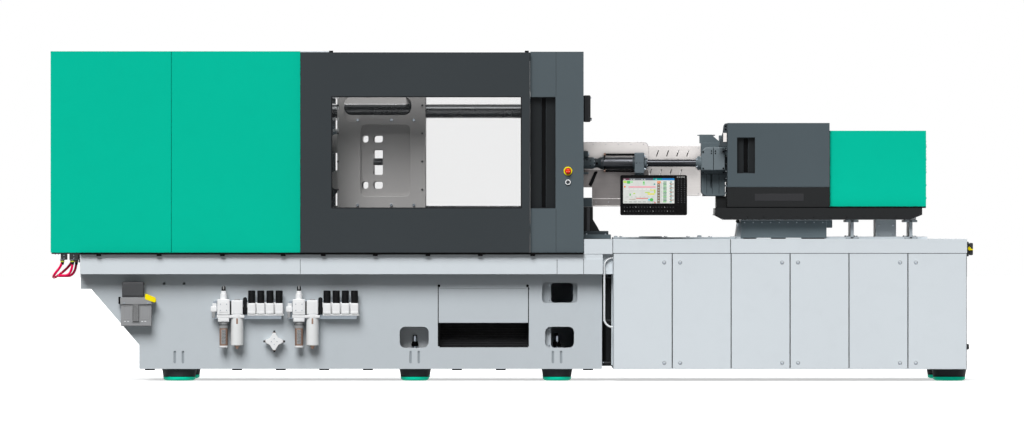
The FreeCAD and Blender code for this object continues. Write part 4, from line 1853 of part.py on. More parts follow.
def air_unit(number):
    """Filter, regulator and a row of valves on one bracket, stacked down from the dome."""
    base = f"({BED_LEFT} + air_x + {number} * air_pitch)"
    name = f"air_{number}"
    middle_y = "-(bed_half + air_reach)"
    dome_top = f"({DECK} - air_drop)"
    head_top = f"({dome_top} - air_dome_high - air_neck_high)"
    head_low = f"({head_top} - air_head_high)"
    skirt_low = f"({head_low} - air_skirt_high)"
    second_top = f"({head_top} - air_step)"
    second_low = f"({head_low} + air_step)"
    filter_x = f"({base} + air_filter_x)"
    bowl_x = f"({filter_x} + air_bowl_gap)"
    coil_x = f"({bowl_x} + air_coil_gap)"
    valve_top = f"({head_low} + air_valve_high)"
    head_y = ("-(bed_half + air_reach + air_head_wide / 2)", "-(bed_half + air_reach - air_head_wide / 2)")
    bowl_low = f"({second_low} - air_bowl_high)"
    pieces = [
        box(name + "_plate", (f"{base} + air_step", f"{coil_x} + 3.25 * coil_pitch"),
            ("-(bed_half + bed_wall / 4)", "-bed_half"),
            (f"{head_low} - air_skirt_high", f"{head_top}")),
        box(name + "_bridge", (filter_x, f"{coil_x} + 3 * coil_pitch"),
            ("-(bed_half + air_reach)", "-(bed_half + 2)"),
            (f"{head_low} + air_step", f"{head_top} - air_step")),
        rod(name + "_dome", "z", (f"{dome_top} - air_dome_high - 1", dome_top), filter_x, middle_y,
            "air_dome_dia"),
        rod(name + "_neck", "z", (f"{head_top} - 1", f"{dome_top} - air_dome_high"), filter_x, middle_y,
            "air_neck_dia"),
        box(name + "_head", span_about(filter_x, "air_head_wide / 2"), head_y, (head_low, head_top)),
        box(name + "_skirt", span_about(filter_x, "air_head_wide / 2 + 2"),
            span_about(middle_y, "air_skirt_half"),
            (skirt_low, f"{head_low} + 1")),
        rod(name + "_filter", "z", (f"{skirt_low} - air_filter_high", f"{skirt_low} + 1"), filter_x, middle_y,
            "air_filter_dia"),
        box(name + "_second_head", span_about(bowl_x, "air_skirt_half"),
            span_about(middle_y, "air_skirt_half"),
            (second_low, second_top)),
        rod(name + "_bowl", "z", (bowl_low, f"{second_low} + 1"), bowl_x, middle_y, "air_bowl_dia"),
        rod(name + "_drain", "z", (f"{bowl_low} - air_drain_high", f"{bowl_low} + 1"), bowl_x, middle_y,
            "bed_wall"),
        box(name + "_cock", (f"{filter_x} - air_cock_reach", f"{filter_x} - air_skirt_half"),
            span_about(middle_y, "22"),
            (f"{head_low} - air_skirt_high + air_step", f"{head_top} - 2 * air_step")),
        rod(name + "_knob", "z", (f"{head_low} + 2 * air_step", f"{head_top} + air_step"),
            f"{coil_x} - air_knob_gap",
            middle_y, "bed_wall * 1.5"),
        box(name + "_manifold", (f"{coil_x} - coil_pitch", f"{coil_x} + 3 * coil_pitch + air_manifold_past"),
            ("-(bed_half + air_reach + coil_dia / 2 + 4)", "-(bed_half + 2)"),
            (f"{head_low} - 4", valve_top)),
    ]
    coils = [
        rod(f"{name}_coil_{place}", "z", (f"{valve_top} - 1", f"{valve_top} + coil_high"),
            f"{coil_x} + {place} * coil_pitch", middle_y, "coil_dia")
        for place in range(4)
    ]
    return join(name + "_whole", *pieces, *coils)


def air_distributor():
    x = f"({BED_LEFT} + air_x + star_x)"
    z = f"({DECK} - star_drop)"
    y = "-(bed_half + air_reach - bed_wall)"
    block = box("distributor_block", span_about(x, "star_block_half"), (f"{y} - 30", "-bed_half"),
                span_about(z, "star_block_half"))
    spokes = [
        rod("distributor_across", "x", span_about(x, "2 * star_block_half"), y, z, "star_spoke_dia"),
        rod("distributor_upright", "z", span_about(z, "2 * star_block_half"), x, y, "star_spoke_dia"),
    ]
    return join("distributor_whole", block, *spokes)


def air_units():
    return finished("air_units", group("air_units_set", air_unit(0), air_unit(1), air_distributor()))


def connector_boxes():
    """The box on the pillar's right side and the power connector on the cabinet's end."""
    low = f"({COVER_LOW} + terminal_low)"
    y_span = (f"-({TERMINAL_Y} + terminal_wide / 2)", f"-({TERMINAL_Y} - terminal_wide / 2)")
    case = rounded("terminal_case", "x", y_span, (low, f"{low} + terminal_high"),
                   (PILLAR_RIGHT, f"{PILLAR_RIGHT} + terminal_deep"), "20")
    knob = rod("terminal_knob", "x",
               (f"{PILLAR_RIGHT} + terminal_deep - 1", f"{PILLAR_RIGHT} + terminal_deep + 8"),
               f"-{TERMINAL_Y}", f"{low} + 28", "26")
    plug_y = "(apron_half - plug_wide / 2 - 60)"
    plug = box("plug_case", (CABINET_RIGHT, f"{CABINET_RIGHT} + plug_reach - 6"),
               (f"-({plug_y} + plug_wide / 2)", f"-({plug_y} - plug_wide / 2)"),
               (f"{CABINET_TOP} - 125", f"{CABINET_TOP} - 17"))
    hood = box("plug_hood", (CABINET_RIGHT, f"{CABINET_RIGHT} + plug_reach"),
               (f"-({plug_y} + plug_wide / 2 - 10)", f"-({plug_y} - plug_wide / 2 + 10)"),
               (f"{CABINET_TOP} - 90", f"{CABINET_TOP} - 30"))
    return finished("connector_boxes", group("connector_boxes_set", join("terminal_box", case, knob),
                                             join("plug_box", plug, hood)))


TERMINAL_Y = "(stand_plate_half + 160)"


# ---------------------------------------------------------------- cooling water
BLOCK_LOW = f"({COVER_LOW} - coolant_plate_thick - coolant_block_high)"
HOSE_FRONT = -858
HOSE_ONE_REAR = -718
HOSE_TWO_REAR = -742
# Places that the hoses pass, from the first coupling to the second. The first and last are below the blocks.
HOSE_ONE = [(-3190, HOSE_FRONT, 861), (-3190, HOSE_FRONT, 828), (-3262, HOSE_FRONT, 740),
            (-3248, HOSE_ONE_REAR, 728),
            (-3127, HOSE_ONE_REAR, 829), (-3127, HOSE_ONE_REAR, 861)]
HOSE_TWO = [(-3118, HOSE_FRONT, 861), (-3118, HOSE_FRONT, 750), (-3230, HOSE_FRONT, 748),
            (-3228, HOSE_TWO_REAR, 746),
            (-3095, HOSE_TWO_REAR, 745), (-3095, HOSE_TWO_REAR, 861)]


def coolant_block():
    """The plate under the end cover with the two water blocks that the hoses are pushed into."""
    low = f"({COVER_LOW} - coolant_plate_thick)"
    y_span = ("-(cover_half - cover_wall)", "-600")
    plate = box("coolant_plate", (f"{COVER_LEFT} + cover_wall", BED_LEFT), y_span, (low, COVER_LOW))
    lip = box("coolant_lip", (f"{BED_LEFT} - coolant_plate_thick", BED_LEFT), y_span,
              (f"{DECK} - 60", f"{low} + 1"))
    blocks = [
        box(f"coolant_outlet_{name}", (f"{COVER_LEFT} + {start}", f"{COVER_LEFT} + {end}"), (front, back),
            (BLOCK_LOW, f"{low} + 1"))
        for name, start, end, front, back in (("left", 71, 118, "-(cover_half - 8)", "-(cover_half - 55)"),
                                              ("right", 133, 195, "-(cover_half - 8)", "-(cover_half - 190)"))
    ]
    return finished("coolant_block", join("coolant_block_whole", plate, lip, *blocks))


def hose_wire(points, name):
    """Straight runs joined by tangent arcs of the hose's bend radius."""
    radius = size("hose_bend")
    edges = []
    start = points[0]
    for before, corner, after in zip(points, points[1:], points[2:]):
        back = (before - corner).normalize()
        ahead = (after - corner).normalize()
        half_turn = (math.pi - back.getAngle(ahead)) / 2
        reach = radius * math.tan(half_turn)
        arc_start = corner + back * reach
        arc_end = corner + ahead * reach
        inward = (back + ahead).normalize()
        arc_middle = corner + inward * (radius / math.cos(half_turn) - radius)
        edges.append(Part.LineSegment(start, arc_start).toShape())
        edges.append(Part.Arc(arc_start, arc_middle, arc_end).toShape())
        if (arc_start - start).dot(back) > 0:
            raise RuntimeError(f"{name} has no straight run before {corner}")
        start = arc_end
    edges.append(Part.LineSegment(start, points[-1]).toShape())
    return Part.Wire(edges)


def coolant_hose(name, route):
    """A hose that hangs from one coupling to the other."""
    wire = hose_wire([FreeCAD.Vector(*place) for place in route], name)
    radius = size("hose_dia") / 2
    ring = Part.Wire([Part.Circle(FreeCAD.Vector(*route[0]),
                                  FreeCAD.Vector(*route[1]) - FreeCAD.Vector(*route[0]),
                                  radius).toShape()])
    pipe = wire.makePipeShell([ring], True, False)
    expected = math.pi * radius * radius * wire.Length
    print(name, "length", round(wire.Length, 1), "bend", size("hose_bend"), "volume",
          round(pipe.Volume / expected, 4))
    feature = doc.addObject("Part::Feature", name + "_tube")
    feature.Shape = pipe
    feature.Placement = FreeCAD.Placement()
    return finished(name, feature)


def build():
    bed_frame()
    bed_aprons()
    gate_rails()
    clamp_cover_left()
    clamp_cover_right()
    pillar_cover()
    gate("front_gate", "front")
    gate("rear_gate", "rear")
    tie_bars()
    fixed_platen()
    tail_platen()
    for name, sign in (("upper", "+"), ("lower", "-")):
        rear_link(f"{name}_rear_link", sign)
        front_link(f"{name}_front_link", sign)
        drive_link(f"{name}_drive_link", sign)
    crosshead()
    clamp_spindle()
    clamp_motor()
    moving_platen()
    ejector()
    guide_rails()
    foot_housings()
    foot_pads()
    cabinet_frame()
    cabinet_deck()
    switchgear()
    for number in range(6):
        cabinet_door(number)
    cabinet_handle()
    carriage_base()
    injection_cover()
    motor_cover()
    feed_housing()
    barrel()
    nozzle()
    plasticising_screw()
    injection_drive()
    carriage_cylinders()
    cylinder_rods()
    barrel_guard()
    sliding_guard()
    panel_arm()
    control_panel()
    estop_button()
    key_switch()
    robot_socket()
    socket_lever()
    air_units()
    connector_boxes()
    coolant_block()
    coolant_hose("coolant_hose_1", HOSE_ONE)
    coolant_hose("coolant_hose_2", HOSE_TWO)


def export():
    doc.recompute()
    for feature in doc.Objects:
        if "Invalid" in feature.State or "Error" in feature.State:
            raise RuntimeError(f"{feature.Name} failed: {feature.State}")
    for feature in SUBPARTS:
        shape = feature.Shape
        if shape.isNull() or not shape.isValid():
            raise RuntimeError(f"{feature.Label} has no valid shape")
    os.makedirs("parts", exist_ok=True)
    for feature in SUBPARTS:
        feature.Shape.exportStep(f"parts/{feature.Label}.step")
    print(len(SUBPARTS), "sub-parts")


build()
export()
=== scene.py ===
import math

import bmesh
import bpy
from mathutils import Matrix, Vector


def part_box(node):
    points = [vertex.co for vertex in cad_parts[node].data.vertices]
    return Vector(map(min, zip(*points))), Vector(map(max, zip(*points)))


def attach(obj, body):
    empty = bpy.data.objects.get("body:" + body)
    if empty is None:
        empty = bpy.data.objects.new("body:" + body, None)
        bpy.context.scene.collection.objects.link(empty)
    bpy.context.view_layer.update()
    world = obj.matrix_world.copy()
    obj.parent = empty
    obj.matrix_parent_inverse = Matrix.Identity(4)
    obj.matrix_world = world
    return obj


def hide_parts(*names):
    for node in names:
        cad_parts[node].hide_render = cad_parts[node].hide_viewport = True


# Looks of an injection moulding machine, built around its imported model.
# Lengths are written in millimetres and turned to metres where a mesh is finished.
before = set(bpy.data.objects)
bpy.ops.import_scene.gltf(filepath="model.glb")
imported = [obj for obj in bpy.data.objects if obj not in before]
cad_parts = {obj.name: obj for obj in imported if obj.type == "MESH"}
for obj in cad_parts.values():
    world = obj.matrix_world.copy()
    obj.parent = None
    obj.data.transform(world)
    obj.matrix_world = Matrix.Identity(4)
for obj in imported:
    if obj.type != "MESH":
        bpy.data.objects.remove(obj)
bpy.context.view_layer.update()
MM = 0.001
PI = math.pi

# ---------------------------------------------------------------- camera
# The photograph's frame is 1024 pixels wide, 7.1 mm a pixel at the machine's front.
PIXEL = 7.1 * MM
FRAME_WIDE = 1024 * PIXEL
FRONT_Y = -0.80
CAMERA_AWAY = 90.0
CAMERA_HIGH = (381 - 216) * PIXEL

camera_data = bpy.data.cameras.new("camera")
camera_data.sensor_width = 36.0
camera_data.lens = camera_data.sensor_width * CAMERA_AWAY / FRAME_WIDE
camera_data.clip_end = 1000.0
camera = bpy.data.objects.new("camera", camera_data)
camera.location = (0.0, FRONT_Y - CAMERA_AWAY, CAMERA_HIGH)
camera.rotation_euler = (PI / 2, 0.0, 0.0)
bpy.context.scene.collection.objects.link(camera)
bpy.context.scene.camera = camera
bpy.context.scene.view_settings.view_transform = "Standard"


# ---------------------------------------------------------------- materials
def rgb(red, green, blue):
    """A colour as it looks on a screen, from 0 to 255, as the shader's linear one."""
    def linear(level):
        level /= 255
        return level / 12.92 if level <= 0.04045 else ((level + 0.055) / 1.055) ** 2.4
    return (linear(red), linear(green), linear(blue), 1.0)


def scaled(colour, factor):
    return tuple(min(1.0, level * factor) for level in colour[:3]) + (1.0,)


class Finish:
    """A material and the nodes that it is made of."""

    def __init__(self, name):
        self.material = bpy.data.materials.new(name)
        self.material.use_nodes = True
        self.tree = self.material.node_tree
        self.shader = self.tree.nodes["Principled BSDF"]
        self.place = self.node("ShaderNodeTexCoord").outputs["Object"]

    def node(self, kind, inputs=None, **settings):
        made = self.tree.nodes.new(kind)
        for setting, value in settings.items():
            setattr(made, setting, value)
        for key, value in (inputs or {}).items():
            self.put(made.inputs[key], value)
        return made

    def put(self, socket, value):
        if isinstance(value, bpy.types.NodeSocket):
            self.tree.links.new(value, socket)
        else:
            socket.default_value = value

    def math(self, operation, first, second):
        return self.node("ShaderNodeMath", {0: first, 1: second}, operation=operation).outputs[0]

    def feed(self, **values):
        """Sets the shader's sockets, named with _ for a space."""
        for key, value in values.items():
            self.put(self.shader.inputs[key.replace("_", " ")], value)

    def noise(self, scale, detail=2.0, stretch=None, rough=0.5):
        place = self.place
        if stretch:
            place = self.node("ShaderNodeMapping", {"Vector": place, "Scale": stretch}).outputs["Vector"]
        return self.node("ShaderNodeTexNoise", {"Vector": place, "Scale": scale, "Detail": detail,
                                                "Roughness": rough}).outputs["Fac"]

    def ranged(self, value, low, high, start=0.3, end=0.7):
        return self.node("ShaderNodeMapRange", {"Value": value, "From Min": start, "From Max": end,
                                                "To Min": low, "To Max": high}).outputs["Result"]

    def blended(self, factor, first, second):
        return self.node("ShaderNodeMix", {0: factor, 6: first, 7: second}, data_type="RGBA").outputs[2]

    def toned(self, patches, colour, low, high):
        """The colour, between two of its tones in uneven patches."""
        return self.blended(self.ranged(patches, 0, 1), scaled(colour, low), scaled(colour, high))

    def coat(self, patches, colour, tone, radius, edge_highlight, edge_light, grime=0.0):
        """An uneven colour, dusty or not, with a painted highlight on its edges. Gives the direction with its
        edges rounded.
        """
        normal = self.node("ShaderNodeBevel", {"Radius": radius}, samples=4).outputs["Normal"]
        flat = self.node("ShaderNodeNewGeometry").outputs["Normal"]
        same = self.node("ShaderNodeVectorMath", {0: normal, 1: flat},
                         operation="DOT_PRODUCT").outputs["Value"]
        base = self.toned(patches, colour, 1 - tone, 1 + tone)
        if grime:
            dust = self.ranged(self.noise(7.0, 6, rough=0.62), 0.0, grime, 0.50, 0.80)
            base = self.blended(dust, base, scaled(colour, 0.72))
        # Edges are lightened where the rounded direction leaves the flat one: a painted highlight.
        edge = self.math("MULTIPLY", self.ranged(same, 1.0, 0.0, 0.80, 0.995), edge_highlight)
        self.feed(Base_Color=self.blended(edge, base, scaled(colour, edge_light)))
        return normal

    def skin(self, shine, low, high, height, strength, distance, normal):
        """An uneven shine and a fine relief."""
        self.feed(Roughness=self.ranged(shine, low, high),
                  Normal=self.node("ShaderNodeBump",
                                   {"Height": height, "Strength": strength, "Distance": distance,
                                                      "Normal": normal}).outputs["Normal"])
        return self.material


def paint(name, colour, rough=0.42, tone=0.035, edge_light=1.25, gloss=0.12):
    """Powder coat: orange peel, slightly uneven tone, a painted highlight on the edges and a little dust in
    broad patches.
    """
    made = Finish(name)
    normal = made.coat(made.noise(0.9, 3), rgb(*colour), tone, 0.0016, 0.55, edge_light, grime=0.10)
    made.feed(Specular_IOR_Level=gloss)
    return made.skin(made.noise(55, 5), rough - 0.05, rough + 0.08, made.noise(420, 2), 0.12, 0.0004, normal)


def metal(name, colour, rough=0.3, grain=(1, 1, 1), depth=0.1, tone=0.12, metallic=1.0):
    """Ground or drawn metal: fine lines along the work, with a slightly uneven shine."""
    made = Finish(name)
    lines = made.noise(160, 4, grain, 0.65)
    normal = made.coat(lines, rgb(*colour), tone, 0.0012, 0.5, 1.3)
    made.feed(Metallic=metallic)
    return made.skin(made.noise(9, 5), rough * 0.8, rough * 1.25, lines, depth, 0.0003, normal)


def casting(name, colour, rough=0.5, depth=0.35, tone=0.08):
    """Painted cast iron: a pebbled skin under the paint, paler on its edges as a painted highlight."""
    made = Finish(name)
    normal = made.coat(made.noise(3.0, 5), rgb(*colour), tone, 0.004, 0.5, 1.35)
    made.feed(Specular_IOR_Level=0.15)
    coarse = made.noise(95, 6, rough=0.6)
    return made.skin(coarse, rough - 0.08, rough + 0.1, coarse, depth, 0.0012, normal)


def plastic(name, colour, rough=0.35, depth=0.08, grain=600, tone=0.05, gloss=0.15):
    """Moulded plastic or rubber with a fine grain."""
    made = Finish(name)
    normal = made.coat(made.noise(14, 4), rgb(*colour), tone, 0.0012, 0.35, 1.5)
    made.feed(Specular_IOR_Level=gloss)
    return made.skin(made.noise(80, 4), rough - 0.05, rough + 0.08, made.noise(grain, 2), depth, 0.0004,
                     normal)


def glow(name, colour, strength):
    """A lit patch, a little uneven like a backlight: the screen's own light, and painted light on the feet's
    pads.
    """
    made = Finish(name)
    light = made.toned(made.noise(30, 3), rgb(*colour), 0.96, 1.04)
    made.feed(Base_Color=light, Emission_Color=light, Emission_Strength=strength, Roughness=0.25,
              Specular_IOR_Level=0.1)
    return made.material


def pane(name, tint, alpha):
    """A clear plastic pane that shows the light as a faint veil."""
    made = Finish(name)
    made.feed(Base_Color=made.toned(made.noise(3, 3), rgb(*tint), 0.96, 1), Alpha=alpha,
              Roughness=made.ranged(made.noise(30, 3), 0.04, 0.09))
    return made.material


GREEN = paint("green_coat", (0, 188, 157), rough=0.40, tone=0.02, edge_light=1.12, gloss=0.06)
GATE = paint("gate_coat", (53, 58, 61), rough=0.45)
PILLAR = paint("pillar_coat", (82, 92, 97), rough=0.45)
APRON = paint("apron_coat", (212, 219, 224), tone=0.015, edge_light=1.1)
BED = paint("bed_coat", (189, 196, 201), rough=0.45, tone=0.02, edge_light=1.1)
COVER = paint("cover_coat", (77, 87, 92), rough=0.45)
BLACK = paint("black_coat", (31, 32, 33), rough=0.45, edge_light=1.8)
CUP = paint("cup_coat", (50, 56, 58), rough=0.5)
POST = paint("post_coat", (166, 173, 178), rough=0.45, tone=0.02)
# Paler than the bed's coat: painted light on the sheet behind the first window, which lies in shade.
WALL_PALE = paint("inner_sheet_painted_light", (238, 242, 245), rough=0.5)
SLOT_SHADE = paint("slot_coat", (150, 157, 162), rough=0.5)
GRIP = paint("grip_coat", (27, 30, 32), rough=0.5, edge_light=1.6)
DECK_GREY = paint("deck_coat", (168, 176, 181), rough=0.45, tone=0.02)
INSET = paint("inset_coat", (48, 48, 50), rough=0.4, edge_light=1.5)
MACHINERY = casting("machinery_coat", (92, 103, 108), rough=0.48)
DARK_MACHINERY = casting("dark_machinery_coat", (60, 67, 71))
PLATEN = casting("platen_coat", (170, 168, 167), depth=0.15, tone=0.03)
YOKE = casting("yoke_coat", (102, 112, 118), rough=0.45, depth=0.2)
CAST_LIGHT = casting("housing_coat", (110, 120, 125), rough=0.45, depth=0.25)
INK = plastic("deep_black", (7, 7, 8), rough=0.55, gloss=0.05)
RUBBER = plastic("black_rubber", (24, 25, 27), rough=0.62, depth=0.2, grain=350, gloss=0.1)
WHITE_PLASTIC = plastic("white_plastic", (233, 234, 235), rough=0.3, tone=0.015)
GREY_PLASTIC = plastic("grey_plastic", (150, 151, 152), rough=0.4, tone=0.03)
DARK_PLASTIC = plastic("dark_plastic", (52, 53, 55), rough=0.42)
PANEL_BLACK = plastic("panel_black", (10, 10, 11), rough=0.28, depth=0.04, gloss=0.08)
YELLOW = plastic("yellow_plastic", (250, 228, 12), rough=0.32, tone=0.02)
RED = plastic("signal_red", (238, 48, 12), rough=0.28, tone=0.03)
HOSE_RED = plastic("hose_red", (236, 4, 84), rough=0.3, depth=0.05, tone=0.06, gloss=0.1)
SOCKET_DARK = plastic("socket_dark", (72, 73, 75), rough=0.42)
SOCKET_GREY = plastic("socket_grey", (146, 147, 149), rough=0.42, tone=0.03)
ENAMEL = plastic("white_enamel", (226, 229, 231), rough=0.25, tone=0.01)
BOWL_WHITE = plastic("bowl_white", (226, 228, 228), rough=0.2, tone=0.02)
YELLOW_GREEN = plastic("clip_green", (190, 210, 60), rough=0.4)
PINK = plastic("clip_pink", (220, 150, 150), rough=0.4)
SEAM = plastic("seam_shade", (62, 65, 68), rough=0.6, gloss=0.05)
KEY_WHITE = plastic("key_white", (190, 192, 190), rough=0.4)
KEY_GREY = plastic("key_grey", (84, 86, 88), rough=0.4)
BROWN = metal("bronze_filter", (138, 112, 98), rough=0.5, metallic=0.6)
STEEL = metal("ground_steel", (150, 152, 155), rough=0.32, grain=(0.06, 1, 1))
# Dark steel: the bars' own colour darkened further as painted shade inside the clamp unit.
BAR_STEEL = metal("bar_steel", (62, 63, 64), rough=0.28, grain=(1, 0.2, 0.2), depth=0.04)
# Very dark for chrome: a painted reflection of dark surroundings. The highlight on top comes from the lamp.
CHROME = metal("hard_chrome", (50, 51, 54), rough=0.2, grain=(1, 0.2, 0.2), depth=0.02, tone=0.04)
DARK_CHROME = metal("dark_tube", (58, 59, 62), rough=0.34, grain=(0.05, 1, 1), depth=0.04)
SHEET = metal("stainless_sheet", (201, 197, 195), rough=0.42, grain=(0.04, 1, 1), depth=0.03, tone=0.03)
# A darker copy of the stainless sheet: painted shade on the hood's lower part.
SHADED_SHEET = metal("sheet_painted_shade", (128, 124, 123), rough=0.4, grain=(0.04, 1, 1), depth=0.03, tone=0.04)
ZINC = metal("zinc_screw", (150, 158, 166), rough=0.35)
BRASS = metal("brass_fitting", (180, 146, 88))
COPPER = metal("heater_band", (158, 150, 140), rough=0.42, grain=(1, 0.1, 0.1))
# The feet's green pads glow a little: painted light, brighter than the lamps make them.
PAD_GREEN_PAINTED_GLOW = glow("pad_green_painted_glow", (0, 196, 158), 0.36)
PANE = pane("clear_pane", (100, 104, 108), 0.05)
LIT = {name: glow(f"screen_{name}", colour, 0.5) for name, colour in {
    "paper": (182, 184, 180), "white": (192, 194, 190), "pale": (176, 180, 176), "grey": (150, 154, 152),
    "dusk": (92, 96, 100), "slate": (76, 84, 96), "plum": (90, 56, 70), "red": (186, 44, 40),
    "teal": (10, 128, 130),
    "blue": (30, 110, 170), "yellow": (196, 190, 70), "lime": (160, 186, 84), "green": (74, 156, 74),
    "mint": (140, 190, 140), "leaf": (60, 116, 84), "pink": (206, 118, 138), "orange": (204, 112, 44),
    "brown": (130, 96, 70), "bark": (98, 92, 84), "cyan": (84, 176, 184)}.items()}

# ---------------------------------------------------------------- mesh builder
AXES = {"x": (0, 1, 2), "y": (1, 0, 2), "z": (2, 0, 1)}


def along(axis, run, across, upward):
    """A point from its place along an axis and its two other coordinates in X, Y, Z order."""
    place = [0.0, 0.0, 0.0]
    for index, value in zip(AXES[axis], (run, across, upward)):
        place[index] = value
    return Vector(place)


def row(start, pitch, count):
    return [start + pitch * number for number in range(count)]


def flank(side, near, far):
    """A range of Y on one side of the machine, from two distances from its middle plane."""
    return tuple(sorted((side * near, side * far)))


def strip(part, *loops):
    """Faces between each loop of corners and the next."""
    for first, second in zip(loops, loops[1:]):
        for step in range(len(first)):
            after = (step + 1) % len(first)
            part.faces.new([first[step], first[after], second[after], second[step]])


class Work:
    """Gathers solids, in millimetres, into the mesh of one piece."""

    def __init__(self):
        self.mesh = bmesh.new()
        self.materials = []

    def take(self, part, material, turn=None):
        if turn:
            axis, degrees, centre = turn
            bmesh.ops.rotate(part, verts=part.verts, cent=centre,
                             matrix=Matrix.Rotation(math.radians(degrees), 3, axis))
        if material not in self.materials:
            self.materials.append(material)
        bmesh.ops.recalc_face_normals(part, faces=part.faces)
        for face in part.faces:
            face.material_index = self.materials.index(material)
            face.smooth = True
        passing = bpy.data.meshes.new("passing")
        part.to_mesh(passing)
        part.free()
        self.mesh.from_mesh(passing)
        bpy.data.meshes.remove(passing)

    def box(self, x, y, z, material, edge=2.0, steps=2, turn=None):
        """A block with its edges rounded."""
        part = bmesh.new()
        bmesh.ops.create_cube(part, size=1)
        spans = [high - low for low, high in (x, y, z)]
        for vert in part.verts:
            vert.co = Vector([(low + high) / 2 + at * span
                              for (low, high), at, span in zip((x, y, z), vert.co, spans)])
        if edge:
            bmesh.ops.bevel(part, geom=part.edges[:], offset=min(edge, 0.45 * min(spans)), segments=steps,
                            profile=0.5, affect="EDGES")
        self.take(part, material, turn)

    def boxes(self, material, edge, *blocks):
        """Blocks by their left, right, front, back, low and high ends."""
        for left, right, front, back, low, high in blocks:
            self.box((left, right), (front, back), (low, high), material, edge)

    def lathe(self, axis, across, upward, points, material, sides=32, loop=False, turn=None):
        """Turns (place along the axis, radius) points about the axis."""
        part = bmesh.new()
        rings = []
        for run, radius in points:
            if radius < 1e-6:
                rings.append([part.verts.new(along(axis, run, across, upward))])
                continue
            rings.append([part.verts.new(along(axis, run, across + radius * math.cos(angle),
                                               upward + radius * math.sin(angle)))
                          for angle in row(0, 2 * PI / sides, sides)])
        pairs = list(zip(rings, rings[1:]))
        if loop:
            pairs.append((rings[-1], rings[0]))
        for first, second in pairs:
            for step in range(sides):
                after = (step + 1) % sides
                corners = [first[step % len(first)], first[after % len(first)], second[after % len(second)],
                           second[step % len(second)]]
                corners = [vert for index, vert in enumerate(corners) if vert not in corners[:index]]
                if len(corners) > 2:
                    part.faces.new(corners)
        for ring in () if loop else (rings[0], rings[-1]):
            if len(ring) > 1:
                part.faces.new(ring)
        self.take(part, material, turn)

    def rod(self, axis, span, across, upward, dia, material, edge=1.5, sides=32, turn=None):
        """A round bar with its rims rounded."""
        low, high = span
        edge = min(edge, 0.4 * (high - low), 0.225 * dia)
        rim = [(0, dia / 2 - edge), (0.3 * edge, dia / 2 - 0.3 * edge), (edge, dia / 2)]
        points = [*[(low + run, radius) for run, radius in rim],
                  *[(high - run, radius) for run, radius in rim[::-1]]]
        self.lathe(axis, across, upward, points, material, sides, turn=turn)

    def ring(self, axis, span, across, upward, inner, outer, material, edge=1.0, sides=40):
        """A sleeve with a hole, by its two diameters."""
        low, high = span
        points = [(low, inner / 2), (low, outer / 2 - edge), (low + edge, outer / 2),
                  (high - edge, outer / 2),
                  (high, outer / 2 - edge), (high, inner / 2)]
        self.lathe(axis, across, upward, points, material, sides, loop=True)

    def prism(self, axis, points, span, material, edge=1.5, steps=2):
        """An outline, in the two other axes' order, padded along an axis with rounded edges."""
        part = bmesh.new()
        ends = [[part.verts.new(along(axis, run, *point)) for point in points] for run in span]
        for ring in ends:
            part.faces.new(ring)
        strip(part, *ends)
        bmesh.ops.recalc_face_normals(part, faces=part.faces)
        if edge:
            sharp = [side for side in part.edges if side.calc_face_angle(0) > math.radians(28)]
            bmesh.ops.bevel(part, geom=sharp, offset=edge, segments=steps, profile=0.5, affect="EDGES",
                            clamp_overlap=True)
        self.take(part, material)

    def band(self, outer, inner, depth, material):
        """A closed strip between two outlines with the same number of corners, along Y."""
        part = bmesh.new()
        loops = [[part.verts.new(along("y", y, x, z)) for x, z in outline]
                 for y, outline in ((depth[0], outer), (depth[0], inner), (depth[1], inner),
                                    (depth[1], outer))]
        strip(part, *loops, loops[0])
        self.take(part, material)

    def tube(self, points, dia, material, sides=8, smooth=6):
        """A bent pipe through points, with a smooth line between them."""
        path = curved([Vector(point) for point in points], smooth)
        part = bmesh.new()
        rings, side = [], None
        for index, point in enumerate(path):
            ahead = (path[min(index + 1, len(path) - 1)] - path[max(index - 1, 0)]).normalized()
            side = side or ahead.orthogonal().normalized()
            side = (side - ahead * side.dot(ahead)).normalized()
            other = ahead.cross(side)
            rings.append([part.verts.new(point + (side * math.cos(turn) + other * math.sin(turn)) * dia / 2)
                          for turn in row(0, 2 * PI / sides, sides)])
        strip(part, *rings)
        for ring in (rings[0], rings[-1]):
            part.faces.new(ring)
        self.take(part, material)

    def bolt(self, axis, face, across, upward, dia, material=ZINC, out=-1, hexagon=False):
        """The head of a screw on a face, pointing out along the axis."""
        tip = face + out * 0.55 * dia
        if hexagon:
            self.prism(axis, polygon(across, upward, dia / 2), tuple(sorted((face, tip))), material,
                       edge=0.08 * dia, steps=1)
            self.ring(axis, tuple(sorted((face, face + out * 0.12 * dia))), across, upward, 0.2 * dia,
                      1.25 * dia,
                      material, edge=0.05 * dia, sides=20)
            return
        rim, socket = dia / 2, 0.27 * dia
        points = [(face, rim), (tip - out * 0.15 * dia, rim), (tip, rim * 0.82), (tip, socket),
                  (tip - out * 0.3 * dia, socket * 0.95), (tip - out * 0.3 * dia, 0)]
        self.lathe(axis, across, upward, points, material, sides=16)

    def bolts(self, axis, face, acrosses, upwards, dia, **settings):
        """Screws at every crossing of two rows of places."""
        for across in acrosses:
            for upward in upwards:
                self.bolt(axis, face, across, upward, dia, **settings)

